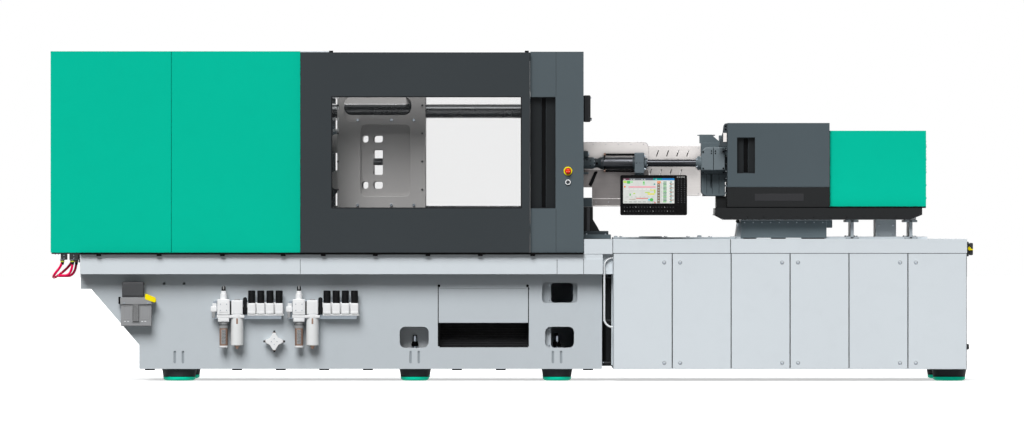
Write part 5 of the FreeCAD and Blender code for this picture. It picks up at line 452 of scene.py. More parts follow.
    def louvres(self, axis, run, face, rise, out, material, pitch=22):
        """Rows of pressed louvres on a face that looks along an axis."""
        other = "x" if axis == "y" else "y"
        low, high = rise
        for z in row(low, pitch, int((high - low) / pitch)):
            self.prism(other, [(face - out * 2, z), (face + out * 7, z + 2), (face + out * 7, z + 5),
                               (face - out * 2, z + 15)], run, material, edge=0.8, steps=1)
            ends = [tuple(sorted((face + out * 0.2, face + out * 1.5))), (run[0] + 3, run[1] - 3)]
            self.box(*(ends if axis == "x" else ends[::-1]), (z - 5, z), INK, edge=0)

    def mirror(self):
        """The same solids again on the other side of the machine's middle plane."""
        copied = bmesh.ops.duplicate(self.mesh,
                                     geom=self.mesh.verts[:] + self.mesh.edges[:] + self.mesh.faces[:])
        faces = [item for item in copied["geom"] if isinstance(item, bmesh.types.BMFace)]
        for item in copied["geom"]:
            if isinstance(item, bmesh.types.BMVert):
                item.co.y = -item.co.y
        bmesh.ops.reverse_faces(self.mesh, faces=faces)

    def finish(self, name, body, slot, *replaced):
        for vert in self.mesh.verts:
            vert.co *= MM
        data = bpy.data.meshes.new(name)
        self.mesh.to_mesh(data)
        self.mesh.free()
        data.set_sharp_from_angle(angle=math.radians(42))
        for material in self.materials:
            data.materials.append(material)
        piece = bpy.data.objects.new(name, data)
        bpy.context.scene.collection.objects.link(piece)
        piece.modifiers.new("weighted_normals", "WEIGHTED_NORMAL").keep_sharp = True
        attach(piece, body)
        if replaced:
            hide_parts(*replaced)


def built(name, body, slot, *replaced):
    """Makes a piece at once with the function that follows."""
    def build(shape):
        work = Work()
        shape(work)
        work.finish(name, body, slot, *replaced)
    return build


def curved(points, steps):
    """A smooth line through points."""
    line = []
    padded = [2 * points[0] - points[1], *points, 2 * points[-1] - points[-2]]
    for before, start, end, after in zip(padded, padded[1:], padded[2:], padded[3:]):
        for step in range(steps):
            t = step / steps
            bend = 2 * before - 5 * start + 4 * end - after
            line.append(0.5 * (2 * start + (end - before) * t + bend * t * t
                               + (3 * start - before - 3 * end + after) * t ** 3))
    return [*line, points[-1]]


def polygon(across, upward, radius, first=0.0):
    """The corners of a hexagon."""
    return [(across + radius * math.cos(turn), upward + radius * math.sin(turn))
            for turn in row(first, PI / 3, 6)]


def rounded(left, right, low, high, radius):
    """The corners of a rectangle with round corners."""
    outline = []
    for across, upward, first in ((right - radius, low + radius, -90), (right - radius, high - radius, 0),
                                  (left + radius, high - radius, 90), (left + radius, low + radius, 180)):
        for angle in row(math.radians(first), math.radians(18), 6):
            outline.append((across + radius * math.cos(angle), upward + radius * math.sin(angle)))
    return outline


def dress(material, *names):
    """Gives CAD nodes their material."""
    for name in names:
        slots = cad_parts[name].data.materials
        slots.clear()
        slots.append(material)


# ---------------------------------------------------------------- materials of the frame's own solids
for look, nodes in (
        (BED, "bed_frame"), (APRON, "bed_aprons cabinet_frame cabinet_deck switchgear"),
        (APRON, " ".join(f"cabinet_door_{number}" for number in range(1, 7))), (INK, "gate_rails"),
        (GREEN, "clamp_cover_left clamp_cover_right motor_cover"), (PILLAR, "pillar_cover"),
        (GATE, "front_gate rear_gate"), (PANE, "front_gate_window rear_gate_window"), (BAR_STEEL, "tie_bars"),
        (PLATEN, "fixed_platen tail_platen moving_platen"),
        (DARK_MACHINERY, "upper_rear_link upper_front_link lower_rear_link lower_front_link crosshead"),
        (DARK_MACHINERY, "clamp_motor injection_drive carriage_cylinders"),
        (STEEL, "upper_drive_link lower_drive_link clamp_spindle ejector guide_rails nozzle"),
        (CUP, "foot_housings"), (PAD_GREEN_PAINTED_GLOW, "foot_pads"), (ENAMEL, "cabinet_handle"),
        (BLACK, "carriage_base"),
        (COVER, "injection_cover"), (MACHINERY, "feed_housing panel_arm"), (COPPER, "barrel"),
        (CHROME, "plasticising_screw cylinder_rods"), (SHEET, "barrel_guard sliding_guard"),
        (PANEL_BLACK, "control_panel"), (RED, "estop_button"), (ZINC, "key_switch"),
        (GREY_PLASTIC, "robot_socket"),
        (YELLOW, "robot_socket_lever"), (WHITE_PLASTIC, "air_units"),
        (DARK_PLASTIC, "connector_boxes coolant_block"),
        (HOSE_RED, "coolant_hose_1 coolant_hose_2")):
    dress(look, *nodes.split())


# ---------------------------------------------------------------- cooling water hoses
HOSE_ONE = [(-3.190, -0.858, 0.861), (-3.190, -0.858, 0.828), (-3.262, -0.858, 0.740),
            (-3.248, -0.718, 0.728),
            (-3.127, -0.718, 0.829), (-3.127, -0.718, 0.861)]
HOSE_TWO = [(-3.118, -0.858, 0.861), (-3.118, -0.858, 0.750), (-3.230, -0.858, 0.748),
            (-3.228, -0.742, 0.746),
            (-3.095, -0.742, 0.745), (-3.095, -0.742, 0.861)]
HOSE_DIA = 0.018


def hose(name, points, node):
    line = bpy.data.curves.new(name, "CURVE")
    line.dimensions = "3D"
    line.bevel_depth = HOSE_DIA / 2
    line.bevel_resolution = 6
    line.resolution_u = 16
    line.use_fill_caps = True
    spline = line.splines.new("NURBS")
    spline.points.add(len(points) - 1)
    for point, place in zip(spline.points, points):
        point.co = (*place, 1.0)
    spline.order_u = 3
    spline.use_endpoint_u = True
    line.materials.append(HOSE_RED)
    piece = bpy.data.objects.new(name, line)
    bpy.context.scene.collection.objects.link(piece)
    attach(piece, "machine")
    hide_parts(node)


hose("hose_one", HOSE_ONE, "coolant_hose_1")
hose("hose_two", HOSE_TWO, "coolant_hose_2")


# ---------------------------------------------------------------- places taken from the frame
def span(node):
    """A node's X, Y and Z ranges in millimetres."""
    low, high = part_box(node)
    return [(first / MM, second / MM) for first, second in zip(low, high)]


CAB_X, CAB_Y, _ = span("cabinet_frame")
BED_FACE = -760
PILLAR_FACE = -890
DECK_TOP = 1008
FEET = ((-2366, 248), (-691, 220), (320, 220), (3110, 248))
FOOT_Y = 610
BUTTON_X = 397
CYLINDER_Z = 1550


# ---------------------------------------------------------------- bed
@built("bed_pads", "machine", "foot_rubber")
def bed_pads(work):
    """Dark pads under the bed's edges, on both sides."""
    for x in (-2573, -1953, -1643, -1334, -1024, -391, -80, 540):
        work.box((x - 36, x + 36), (BED_FACE + 2, BED_FACE + 60), (75, 85.5), INK)
    work.mirror()


@built("chute_lining", "machine", "black_plastic")
def chute_lining(work):
    """A ribbed rubber mat on the slide and dark linings beside it."""
    def slope(*places):
        return [(y, 230 + (y + 740) * 528 / 1060 + above) for y, above in places]

    work.prism("x", slope((-738, 1), (-738, 6), (300, 6), (300, 1)), (-572, 171), INK, edge=1)
    for y in row(-726, 24, 42):
        work.prism("x", slope((y, 5), (y + 2, 10), (y + 7, 10), (y + 9, 5)), (-566, 165), RUBBER, edge=0.8,
                   steps=1)
    for run in ((-574.5, -570), (169, 173.5)):
        work.prism("x", [*slope((-738, 8)), (-738, 868), (300, 868), *slope((300, 8))], run, INK, edge=1)


@built("window_plates", "machine", "bed_paint")
def window_plates(work):
    """Sheets behind the windows and the slots, and the chute's flap with its dark joint and pivots. The sheet
    behind the first window is paler than the bed as painted light.
    """
    for low, high, right, edge_low, edge_high in ((556, 696, 434, 470, 722), (236, 384, 440, 196, 470)):
        work.band(rounded(192, 486, edge_low, edge_high, 1), rounded(277, right, low, high, 24), (-702, -697),
                  BED)
        work.bolts("y", -702, (265,), (low + 16, high - 16), 9)
    # A sheet paler than the bed: painted light in the window's shaded hollow.
    work.boxes(WALL_PALE, 1, (-836, -586, -592, -588, 150, 420))
    for foot, _ in FEET[:3]:
        for x in (foot - 29, foot + 29):
            work.prism("y", rounded(x - 10, x + 10, 121, 217, 8), (-753, -748), SLOT_SHADE, edge=0)
    work.boxes(INK, 0.4, (-527, -513, -761, -759, 246, 666), (112, 120, -761, -759, 246, 666))
    work.boxes(BED, 0.8, (-521, 114, -763, -760.6, 413, 665))
    work.boxes(SLOT_SHADE, 0, (-512, 100, -763.4, -762.6, 655, 658))
    for x in (-519, 110):
        work.rod("y", (-764, -759), x, 676, 19, INK, edge=0.3)


@built("end_bellows", "machine", "black_plastic")
def end_bellows(work):
    """Corrugated guards over the pipes between the bed and the cabinet, front and rear. Their left part is
    deep black as painted shade of the gap.
    """
    # The left, deep black part stands for the shade in the gap: painted shade.
    for left, right, material, pitch in ((641, 666, INK, 8.3), (666, 706, RUBBER, 10)):
        work.boxes(material, 1, (left, right, -722, -716, 112, 752))
        for x in row(left + pitch / 2, pitch, int((right - left) / pitch)):
            work.rod("z", (114, 750), x, -722, 6.5, material, edge=2, sides=12)
    work.boxes(APRON, 1, (706, 715, -730, -716, 112, 752))
    work.boxes(DARK_PLASTIC, 2, *[(640.5, 706, -728, -716, z - 6, z + 6) for z in (130, 430, 735)])
    work.bolts("y", -728, (649,), (130, 430, 735), 8)
    work.mirror()


@built("apron_trim", "machine", "light_paint")
def apron_trim(work):
    """The dark seal under the covers and the joints of the aprons."""
    work.boxes(RUBBER, 1, (-3062, 506, -879.5, -873, 898, 911))
    work.boxes(SEAM, 0.4, *[(x - 1.6, x + 1.6, -880.4, -877, 761, 864) for x in (-1502, 320, 508)])
    work.mirror()


@built("levelling_nuts", "machine", "ground_steel")
def levelling_nuts(work):
    """Hexagon nuts, washers and threads on the levelling screws."""
    thread = [(z, 15.4 + number % 2) for number, z in enumerate(row(135, 3, 62))]
    for x, _ in FEET:
        for y in (-FOOT_Y, FOOT_Y):
            work.prism("z", polygon(x, y, 33), (108, 134.5), INK, edge=2)
            work.ring("z", (105.2, 108.5), x, y, 31, 78, ZINC)
            work.lathe("z", x, y, thread, ZINC, sides=20)
            work.prism("z", polygon(x, y, 27, 0.4), (245, 265), INK, edge=2)
            work.ring("z", (264, 279), x, y, 30, 40, INK)


@built("foot_rims", "machine", "foot_rubber")
def foot_rims(work):
    """Rims of the feet's cups and rubbers."""
    for x, dia in FEET:
        for y in (-FOOT_Y, FOOT_Y):
            work.ring("z", (76, 84.6), x, y, dia - 16, dia + 2, CUP, edge=3)
            work.ring("z", (29, 34), x, y, dia - 60, dia - 16, INK, edge=2)


@built("soft_pads", "machine", "green_paint", "foot_pads")
def soft_pads(work):
    """The green pads under the feet, bulging a little, with a faint glow that is painted light."""
    for x, dia in FEET:
        rim = dia / 2 - 9
        for y in (-FOOT_Y, FOOT_Y):
            work.lathe("z", x, y,
                       [(28, 0), (28, rim - 2), (26, rim), (14, rim - 1), (8, rim - 5), (3, rim - 14),
                                   (0, rim - 26), (0, 0)], PAD_GREEN_PAINTED_GLOW, sides=56)


# ---------------------------------------------------------------- clamp side
@built("cover_trim", "machine", "green_paint")
def cover_trim(work):
    """Vents at the left end of the clamp covers, and the strip over the gate's start."""
    work.boxes(APRON, 2, (-1502, -1292, -884, -850, 2332.5, 2341))
    work.louvres("x", (-620, 620), -3273, (1980, 2200), -1, GREEN)


@built("pillar_lining", "machine", "pillar_paint")
def pillar_lining(work):
    """The dark lining of the grip recess, with its slot, and the small seams of the pillar."""
    face, back = PILLAR_FACE + 1, PILLAR_FACE + 50
    work.boxes(GRIP, 0.8, (131, 209, back - 3, back - 0.5, 1226, 2015),
               (242, 308, back - 3, back - 0.5, 1226, 2015),
               (209, 242, back - 3, back - 0.5, 1226, 1234), (209, 242, back - 3, back - 0.5, 2007, 2015),
               (305.5, 308.4, face, back, 1226, 2015), (131, 308, face, back, 1226, 1228.5),
               (131, 308, face, back, 2012.5, 2015))
    work.boxes(INK, 0, (206, 245, back + 7, back + 9, 1226, 2015))
    work.boxes(INK, 1, (210, 241, back - 6, back - 3, 1228, 1232), (210, 241, back - 6, back - 3, 2009, 2013))
    work.boxes(GATE, 0.4, (311, 313.6, face - 1.4, face + 1, 912.5, 1222),
               (311, 313.6, face - 1.4, face + 1, 2019, 2336))


@built("switch_collars", "machine", "yellow_plastic")
def switch_collars(work):
    """The yellow collar round the emergency stop and the white one round the key."""
    work.lathe("y", BUTTON_X, 1490, [(-889.5, 31), (-897, 31), (-899.2, 29), (-899.2, 23.5), (-897.5, 22.5),
                                     (-889.5, 22.5)], YELLOW, sides=48, loop=True)
    work.ring("y", (-899.6, -897), BUTTON_X, 1490, 31, 46, DARK_PLASTIC, edge=0.6)
    work.lathe("y", BUTTON_X, 1411, [(-889.5, 20), (-897.5, 20), (-899, 18.5), (-899, 13.4), (-889.5, 13.4)],
               WHITE_PLASTIC, sides=40, loop=True)


@built("estop_head", "estop_button", "red_plastic", "estop_button")
def estop_head(work):
    """A red mushroom head on its body, with three pale marks."""
    work.lathe("y", BUTTON_X, 1490,
               [(-884, 0), (-884, 11), (-905, 11), (-906.5, 16), (-908, 19.2), (-912, 20),
                                     (-918, 19.2), (-922, 16.5), (-924.4, 11), (-925, 0)], RED, sides=48)
    for turn in (0, 120, 240):
        work.box((BUTTON_X - 1, BUTTON_X + 1), (-925.3, -924.2), (1497, 1502), WHITE_PLASTIC, edge=0.3,
                 turn=("Y", turn, (BUTTON_X, 0, 1490)))


@built("key_plug", "key_switch", "ground_steel", "key_switch")
def key_plug(work):
    """The key switch's core with its slot."""
    work.lathe("y", BUTTON_X, 1411,
               [(-888.5, 0), (-888.5, 13), (-898.8, 13), (-900, 11.8), (-900, 9), (-899, 8.6),
                                     (-899, 0)], DARK_PLASTIC, sides=40)
    work.ring("y", (-900, -898.5), BUTTON_X, 1411, 16, 21, ZINC, edge=0.4)
    work.boxes(INK, 0.6, (BUTTON_X - 2.4, BUTTON_X + 2.4, -900.6, -898.6, 1404, 1418))


@built("terminal_box", "machine", "dark_paint", "connector_boxes")
def terminal_box(work):
    """The black box on the pillar's right side."""
    work.prism("y", rounded(508.5, 559, 1840, 2030, 10), (-660, -540), DARK_PLASTIC, edge=8, steps=4)
    work.prism("y", rounded(509, 516, 1842, 2028, 3), (-663, -537), INK, edge=1)
    work.bolts("x", 559, (-640, -560), (1858, 2012), 9, out=1)
    work.rod("x", (556, 567.5), -632, 1860, 20, INK, edge=3)


@built("power_inlet", "machine", "black_plastic")
def power_inlet(work):
    """The plug with its yellow clip on the cabinet's end."""
    end = CAB_X[1]
    work.boxes(DARK_PLASTIC, 3, (end, end + 14, -818, -722, 885, 989))
    work.box((end + 12, end + 45), (-810, -730), (893, 981), DARK_PLASTIC, edge=8, steps=4)
    work.boxes(YELLOW, 2, (end + 16, end + 22, -822, -718, 925, 955),
               (end + 20, end + 44, -823, -817, 928, 938))
    for y in (-821, -719):
        work.rod("y", (y - 3, y + 3), end + 19, 940, 22, YELLOW, edge=1)
    work.bolts("x", end + 14, (-814, -726), (898, 976), 7, out=1)


# ---------------------------------------------------------------- units on the bed's front wall
@built("robot_socket_unit", "machine", "black_plastic", "robot_socket")
def robot_socket(work):
    """The heavy connector for a robot: ribbed insert, frame, collar and dark hood."""
    left, right = -2776, -2558
    for x, y, z, material, edge in (((left, right), -852, (390, 546), SOCKET_GREY, 6),
                                    ((left - 4, right + 2), -862, (543, 594), SOCKET_GREY, 5)):
        work.box(x, (y, BED_FACE), z, material, edge=edge, steps=3)
    work.box((left + 8, right - 54), (-842, BED_FACE), (592, 704), SOCKET_DARK, edge=10, steps=4)
    work.boxes(SOCKET_DARK, 3, (left + 14, right - 60, -845, -840, 606, 696))
    work.boxes(GREY_PLASTIC, 2, (left + 80, right - 84, -858, -850, 416, 546))
    work.boxes(SOCKET_DARK, 1, (left + 84, right - 88, -859, -856, 420, 541))
    for z in row(426, 7, 17):
        work.box((left + 88, right - 92), (-862, -858), (z, z + 4.6), GREY_PLASTIC, edge=0.8, steps=1)
    work.boxes(ENAMEL, 1, *[(x - 7, x + 7, -853.5, -850, 421, 426)
                            for x in (left + 30, left + 52, right - 66, right - 44)])
    for start, end in ((left + 14, left + 72), (right - 74, right - 16)):
        work.band(rounded(start, end, 440, 536, 8), rounded(start + 4, end - 4, 444, 532, 6), (-853.4, -850),
                  GREY_PLASTIC)
    work.bolts("y", -862, (left + 24, right - 24), (554,), 11)
    work.boxes(INK, 3, (left - 18, left - 3, -812, -780, 546, 598))
    work.boxes(SOCKET_GREY, 3, (right, right + 20, -820, -780, 560, 584))
    work.rod("y", (-854, -778), -2540, 572, 23, ZINC, edge=2)


@built("robot_lever", "robot_socket_lever", "yellow_plastic", "robot_socket_lever")
def robot_lever(work):
    """The yellow locking lever: a bent plate from the hood to its pivot."""
    work.ring("y", (-854, -840), -2540, 572, 24.2, 31, YELLOW, edge=2)
    work.prism("y", [(-2604, 580), (-2538, 557), (-2526, 564), (-2528, 592), (-2592, 620), (-2604, 618)],
               (-864, -854.5), YELLOW, edge=3)


def air_unit(work, base):
    """Filter with its white head, bowl, shut-off cock and four valves with black coils."""
    y = -820
    dome, bowl, coils = base + 84, base + 180, base + 283
    work.boxes(ZINC, 2, (base + 10, base + 494, -766, BED_FACE, 440, 571))
    work.boxes(WHITE_PLASTIC, 4, (base + 40, base + 480, -812, -764, 478, 560),
               (dome - 48, base + 232, -862, -776, 448, 469),
               (base + 4, base + 34, -840, -800, 528, 552))
    work.boxes(WHITE_PLASTIC, 6, (dome - 33, dome + 33, -868, -864, 486, 562),
               (dome - 40, dome + 40, -861, -779, 420, 450))
    work.boxes(GREY_PLASTIC, 3, (dome - 5, dome + 5, -836, -828, 650, 676.5),
               (dome - 15, dome + 15, -853, -838, 262, 366))
    work.boxes(RUBBER, 2, (dome + 47, bowl - 43, -850, -780, 470, 566))
    work.boxes(BROWN, 2, (bowl - 6, bowl + 6, -866.5, -862, 405, 446))
    work.boxes(GREY_PLASTIC, 4, (base + 2, base + 24, -846, -800, 448, 492))
    work.boxes(WHITE_PLASTIC, 3, (coils - 30, coils + 228, -846, -762, 464, 476))
    for x, y_range, z, edge in (((dome - 45, dome + 45), (-866, -770), (468, 581), 7),
                                ((bowl - 41, bowl + 41), (-860, -778), (472, 574), 9),
                                ((base - 8, base + 36), (-842, -798), (490, 530), 6)):
        work.box(x, y_range, z, WHITE_PLASTIC, edge=edge, steps=3)
    work.bolts("y", -868, (dome - 22, dome + 22), (502, 546), 7)
    for x, points, material, sides in (
            (dome, [(636, 0), (636, 15), (664, 14.5), (671, 12), (676, 7), (677, 3), (677, 0)], RUBBER, 28),
            (dome, [(580, 0), (580, 24.5), (618, 24.5), (621, 19), (638, 18), (640, 16), (640, 0)],
             WHITE_PLASTIC, 32),
            (dome, [(251, 0), (251, 32), (240, 32), (237, 28), (237, 0)], WHITE_PLASTIC, 28),
            (bowl, [(455, 0), (455, 45), (260, 45), (254, 43), (252, 39), (252, 0)], BOWL_WHITE, 40),
            (bowl, [(253, 0), (253, 18), (246, 18), (240, 11), (232, 10), (228, 6), (228, 0)], BROWN, 20),
            (coils - 47, [(472, 0), (472, 15), (500, 15), (506, 17), (520, 17), (526, 13), (560, 13),
                          (566, 15),
                          (584, 15), (592, 10), (596, 0)], RUBBER, 24)):
        work.lathe("z", x, y, points, material, sides=sides)
    work.rod("z", (374, 422), dome, y, 64, GREY_PLASTIC, edge=4)
    work.rod("z", (250, 376), dome, y, 59, BROWN, edge=4)
    work.rod("z", (573, 582), bowl, y, 40, GREY_PLASTIC, edge=2)
    work.rod("x", (base - 4, base + 40), y, 512, 34, ZINC, edge=3)
    work.ring("z", (396, 402), dome, y, 58, 68, DARK_PLASTIC)
    work.ring("z", (448, 473), bowl, y, 60, 92, WHITE_PLASTIC, edge=3)
    for z in row(270, 10, 10):
        for x in row(dome - 10, 6.7, 4):
            work.rod("y", (-854.2, -852), x + (3 if z % 20 else 0), z, 4, INK, edge=0.4, sides=8)
    for x in row(coils, 65, 4):
        work.box((x - 29, x + 29), (-850, -764), (474, 553), WHITE_PLASTIC, edge=9, steps=3)
        work.boxes(WHITE_PLASTIC, 2, (x - 25, x + 25, -852, -849, 478, 492))
        work.rod("z", (552, 643), x, y, 50, RUBBER, edge=5)
        for z in row(562, 9, 9):
            work.ring("z", (z, z + 4.5), x, y, 46, 53, PANEL_BLACK, edge=1.2)


@built("air_equipment", "machine", "white_plastic", "air_units")
def air_equipment(work):
    """Two air units and a four-way distributor."""
    for base in (-2131, -1596):
        air_unit(work, base)
    x, z = -1688, 281
    outline = [(x + out * math.sin(angle) + across * math.cos(angle),
                z + out * math.cos(angle) - across * math.sin(angle))
               for angle in row(0, PI / 2, 4) for across, out in ((-9, 62), (9, 62), (28, 28))]
    work.prism("y", outline[::-1], (-836, BED_FACE), WHITE_PLASTIC, edge=4)
    for turn in row(0, 90, 4):
        spoke = ("Y", turn, (x, 0, z))
        work.rod("z", (z + 54, z + 64), x, -800, 24, BROWN, edge=2, turn=spoke)
        work.rod("z", (z + 62, z + 78), x, -800, 15, DARK_PLASTIC, edge=2, turn=spoke)
    for across, up in ((-20, 0), (20, 0), (0, 20), (0, -20)):
        work.bolt("y", -836, x + across, z + up, 7)


COUPLINGS = ((-3190, -858, YELLOW_GREEN), (-3127, -718, BRASS), (-3118, -858, YELLOW_GREEN),
             (-3095, -742, PINK))


@built("coolant_couplings", "machine", "black_plastic")
def coolant_couplings(work):
    """Barbed couplings, strain reliefs and clips where the two hoses are pushed in."""
    for x, y, ring in COUPLINGS:
        work.lathe("z", x, y,
                   [(868, 14), (856, 14), (853, 13), (846, 12), (840, 11.4), (834, 10.6), (828, 10),
                               (826, 9.3), (826, 9.05), (868, 9.05)], RUBBER, sides=28, loop=True)
        work.ring("z", (845, 853), x, y, 24, 29, ring)


@built("coolant_distributor", "machine", "black_plastic", "coolant_block")
def coolant_distributor(work):
    """The plates and blocks that the couplings are screwed into."""
    work.boxes(DARK_PLASTIC, 1, (-3267, -3064, -874, -600, 902, 912), (-3074, -3064, -874, -600, 842, 904))
    work.boxes(DARK_PLASTIC, 3, (-3202, -3155, -872, -825, 861, 903), (-3140, -3078, -872, -690, 861, 903))
    for x, y, _ in COUPLINGS:
        work.ring("z", (859.5, 862), x, y, 30, 40, ZINC, edge=0.8)
    work.bolts("y", -872, (-3178, -3109), (872, 892), 7)
    work.bolts("z", 902, (-3240, -3218), (-860,), 9)


# ---------------------------------------------------------------- injection side
for number in range(1, 7):
    (left, right), _, (low, high) = span(f"cabinet_door_{number}")
    middle = (low + high) / 2

    @built(f"door_{number}_fittings", f"cabinet_door_{number}", "ground_steel")
    def door_fittings(work):
        """Locks with slotted cores, hidden hinges, a seal and an inner stiffener."""
        x, hinge = (right - 56, left + 10) if number % 2 else (left + 54, right - 10)
        for z in (low + 39, high - 62):
            work.lathe("y", x, z,
                       [(-879.5, 12.5), (-882, 12.5), (-883, 11.6), (-883, 9.4), (-881.6, 9), (-881.6, 0),
                                   (-879.5, 0)], ZINC, sides=32)
            work.ring("y", (-880.6, -879.2), x + 1, z - 1.5, 23, 29, GREY_PLASTIC, edge=0.4)
            work.box((x - 6.5, x + 6.5), (-882.4, -881), (z - 1.6, z + 1.6), INK, edge=0.4,
                     turn=("Y", 35 + 20 * number, (x, 0, z)))
            work.boxes(ZINC, 2, (x - 9, x + 9, -857, -846, z - 22, z + 10))
        work.boxes(SEAM, 0, (left, left + 2.2, -880.5, -878, low, high),
                   (right - 2.2, right, -880.5, -878, low, high))
        for z in (low + 90, high - 90):
            work.rod("z", (z - 26, z + 26), hinge, -860, 11, DARK_PLASTIC, edge=1, sides=20)
        work.band(rounded(left + 16, right - 16, low + 16, high - 16, 6),
                  rounded(left + 24, right - 24, low + 24, high - 24, 4), (-857, -850), RUBBER)
        work.boxes(APRON, 3, (left + 40, right - 40, -856, -848, middle - 18, middle + 18))


@built("cabinet_trim", "machine", "light_paint")
def cabinet_trim(work):
    """Seams of the band over the doors, the end's vent grille, rear panels and cable glands."""
    (first, last), face = CAB_X, CAB_Y[0]
    work.boxes(SEAM, 0, (1547.6, 1552.4, face - 0.4, face + 1, 909, 1007),
               (first + 2, last - 2, face - 0.5, face + 1, 904.6, 908.4))
    for left in row(first + 20, 416, 6):
        work.boxes(APRON, 3, (left, left + 400, 878, 882, 110, 880))
        for rise in ((640, 800), (170, 290)):
            work.louvres("y", (left + 60, left + 340), 882, rise, 1, APRON, pitch=20)
        work.bolts("y", 882, (left + 16, left + 384), (130, 495, 860), 10, out=1)
    work.louvres("x", (-520, 520), last, (560, 800), 1, APRON, pitch=24)
    for y in row(-500, 125, 5):
        work.lathe("x", y, 240,
                   [(last - 1, 26), (last + 8, 26), (last + 10, 22), (last + 26, 20), (last + 28, 14),
                                 (last + 28, 0)], DARK_PLASTIC, sides=24)


@built("deck_details", "machine", "casting_paint")
def deck_details(work):
    """Coated skins of the carriage's supports with their bolts, and the low rails and stops on the deck."""
    foot, head = DECK_TOP + 0.5, 1142.5
    work.box((1632, 2245), (-331.5, 331.5), (foot, head), MACHINERY, edge=5, steps=3)
    work.boxes(MACHINERY, 4, (2243, 2286, -331.5, 331.5, 1087, head))
    work.prism("y", [(1596, foot), (1632.5, foot), (1632.5, 1128), (1614, 1128), (1604, 1060)], (-300, 300),
               POST,
               edge=3)
    work.rod("y", (-345, -331), 1610, 1134, 26, RUBBER, edge=4)
    work.rod("z", (1098, 1130), 1610, -325, 12, ZINC, edge=2)
    work.bolts("y", -331.5, row(1660, 62, 10), (1126,), 9)
    for left, right, material in ((1650, 1740, INK), (1746, 1847, ENAMEL), (1850, 1950, INK),
                                  (1955, 2063, ENAMEL),
                                  (2068, 2230, INK)):
        work.boxes(material, 1, (left, right, -333, -331, DECK_TOP + 1, DECK_TOP + 8))
    for x in (2428, 2847):
        work.boxes(POST, 2, (x - 11.5, x + 11.5, -331.5, 331.5, DECK_TOP + 1, head))
        work.boxes(POST, 3, (x - 46, x + 46, -331.5, 331.5, foot, DECK_TOP + 16),
                   (x - 46, x + 46, -331.5, 331.5, 1127, 1143))
        work.bolts("z", DECK_TOP + 16, (x - 32, x + 32), (-310, 310), 14, out=1)
    work.boxes(POST, 4, (2596.5, 2742.5, -291.5, 291.5, foot, head))
    work.bolts("y", -291.5, (2620, 2719), (1040, 1105), 14)
    work.boxes(DECK_GREY, 3, (720, 1592, -540, 540, DECK_TOP, DECK_TOP + 12))
    work.boxes(DECK_GREY, 4,
               *[(left, right, -500, -300, DECK_TOP + 8, DECK_TOP + high) for left, right, high in (
        (728, 752, 22), (905, 1070, 19), (1322, 1350, 27), (1560, 1600, 18))])
    work.bolts("z", DECK_TOP + 12, row(780, 160, 5), (-520, 520), 12, out=1)


@built("press_cylinders", "machine", "casting_paint", "carriage_cylinders")
def press_cylinders(work):
    """The two cylinders that press the nozzle on: flange, neck, dark tube between tie rods, head and cap."""
    z = CYLINDER_Z
    for y in (-260, 260):
        work.boxes(MACHINERY, 6, (339.5, 470, y - 30, y + 30, z - 40, z + 40))
        for points, material, sides in (
                ([(462, 28), (462, 38), (470, 41.5), (578, 41.5), (586, 38), (586, 28)], MACHINERY, 40),
                ([(585, 28), (585, 36), (600, 33), (610, 33), (624, 38), (640, 45.5), (640, 28)],
                 DARK_MACHINERY, 40),
                ([(638, 28), (638, 45.5), (876, 45.5), (876, 28)], DARK_CHROME, 64)):
            work.lathe("x", y, z, points, material, sides=sides, loop=True)
        for turn in row(0.4, PI / 4, 8):
            work.bolt("x", 586, y + 35 * math.cos(turn), z + 35 * math.sin(turn), 9, out=1)
        for x, up in ((560, 16), (560, -18), (536, 24)):
            work.rod("y", (y - 43, y + 43), x, z + up, 9, DARK_PLASTIC, edge=1, sides=14)
        work.rod("y", (y - 40, y - 28), 606, z - 3, 17, INK, edge=1, sides=18)
        for x in (650, 866):
            work.ring("x", (x - 5, x + 5), y, z, 86, 95, DARK_MACHINERY, edge=2)
        for across in (y - 42, y + 42):
            for rise in (-56, 60):
                work.rod("x", (668, 880), across, z + rise, 16, INK, edge=1, sides=16)
                work.bolt("x", 668, across, z + rise, 24, material=BROWN, hexagon=True)
                work.box((655, 664), (across - 9, across + 9), tuple(sorted((z + rise * 0.6, z + rise))), INK)
                work.bolt("x", 944.5, across, z + 0.8 * rise, 17, out=1, hexagon=True)
        work.box((874, 945), (y - 61, y + 61), (z - 76, z + 74), YOKE, edge=9, steps=4)
        for x in row(884, 13, 5):
            work.rod("y", (y - 62.2, y - 60), x, z + 1, 4, INK, edge=0.5, sides=10)
        work.rod("y", (y - 62.4, y - 60), 888, z, 8, INK, edge=1, sides=14)
        work.ring("x", (943, 962), y, z, 54, 76, YOKE, edge=4)
        for turn in row(0.5, PI / 3, 6):
            work.bolt("x", 962, y + 33 * math.cos(turn), z + 33 * math.sin(turn), 9, out=1)


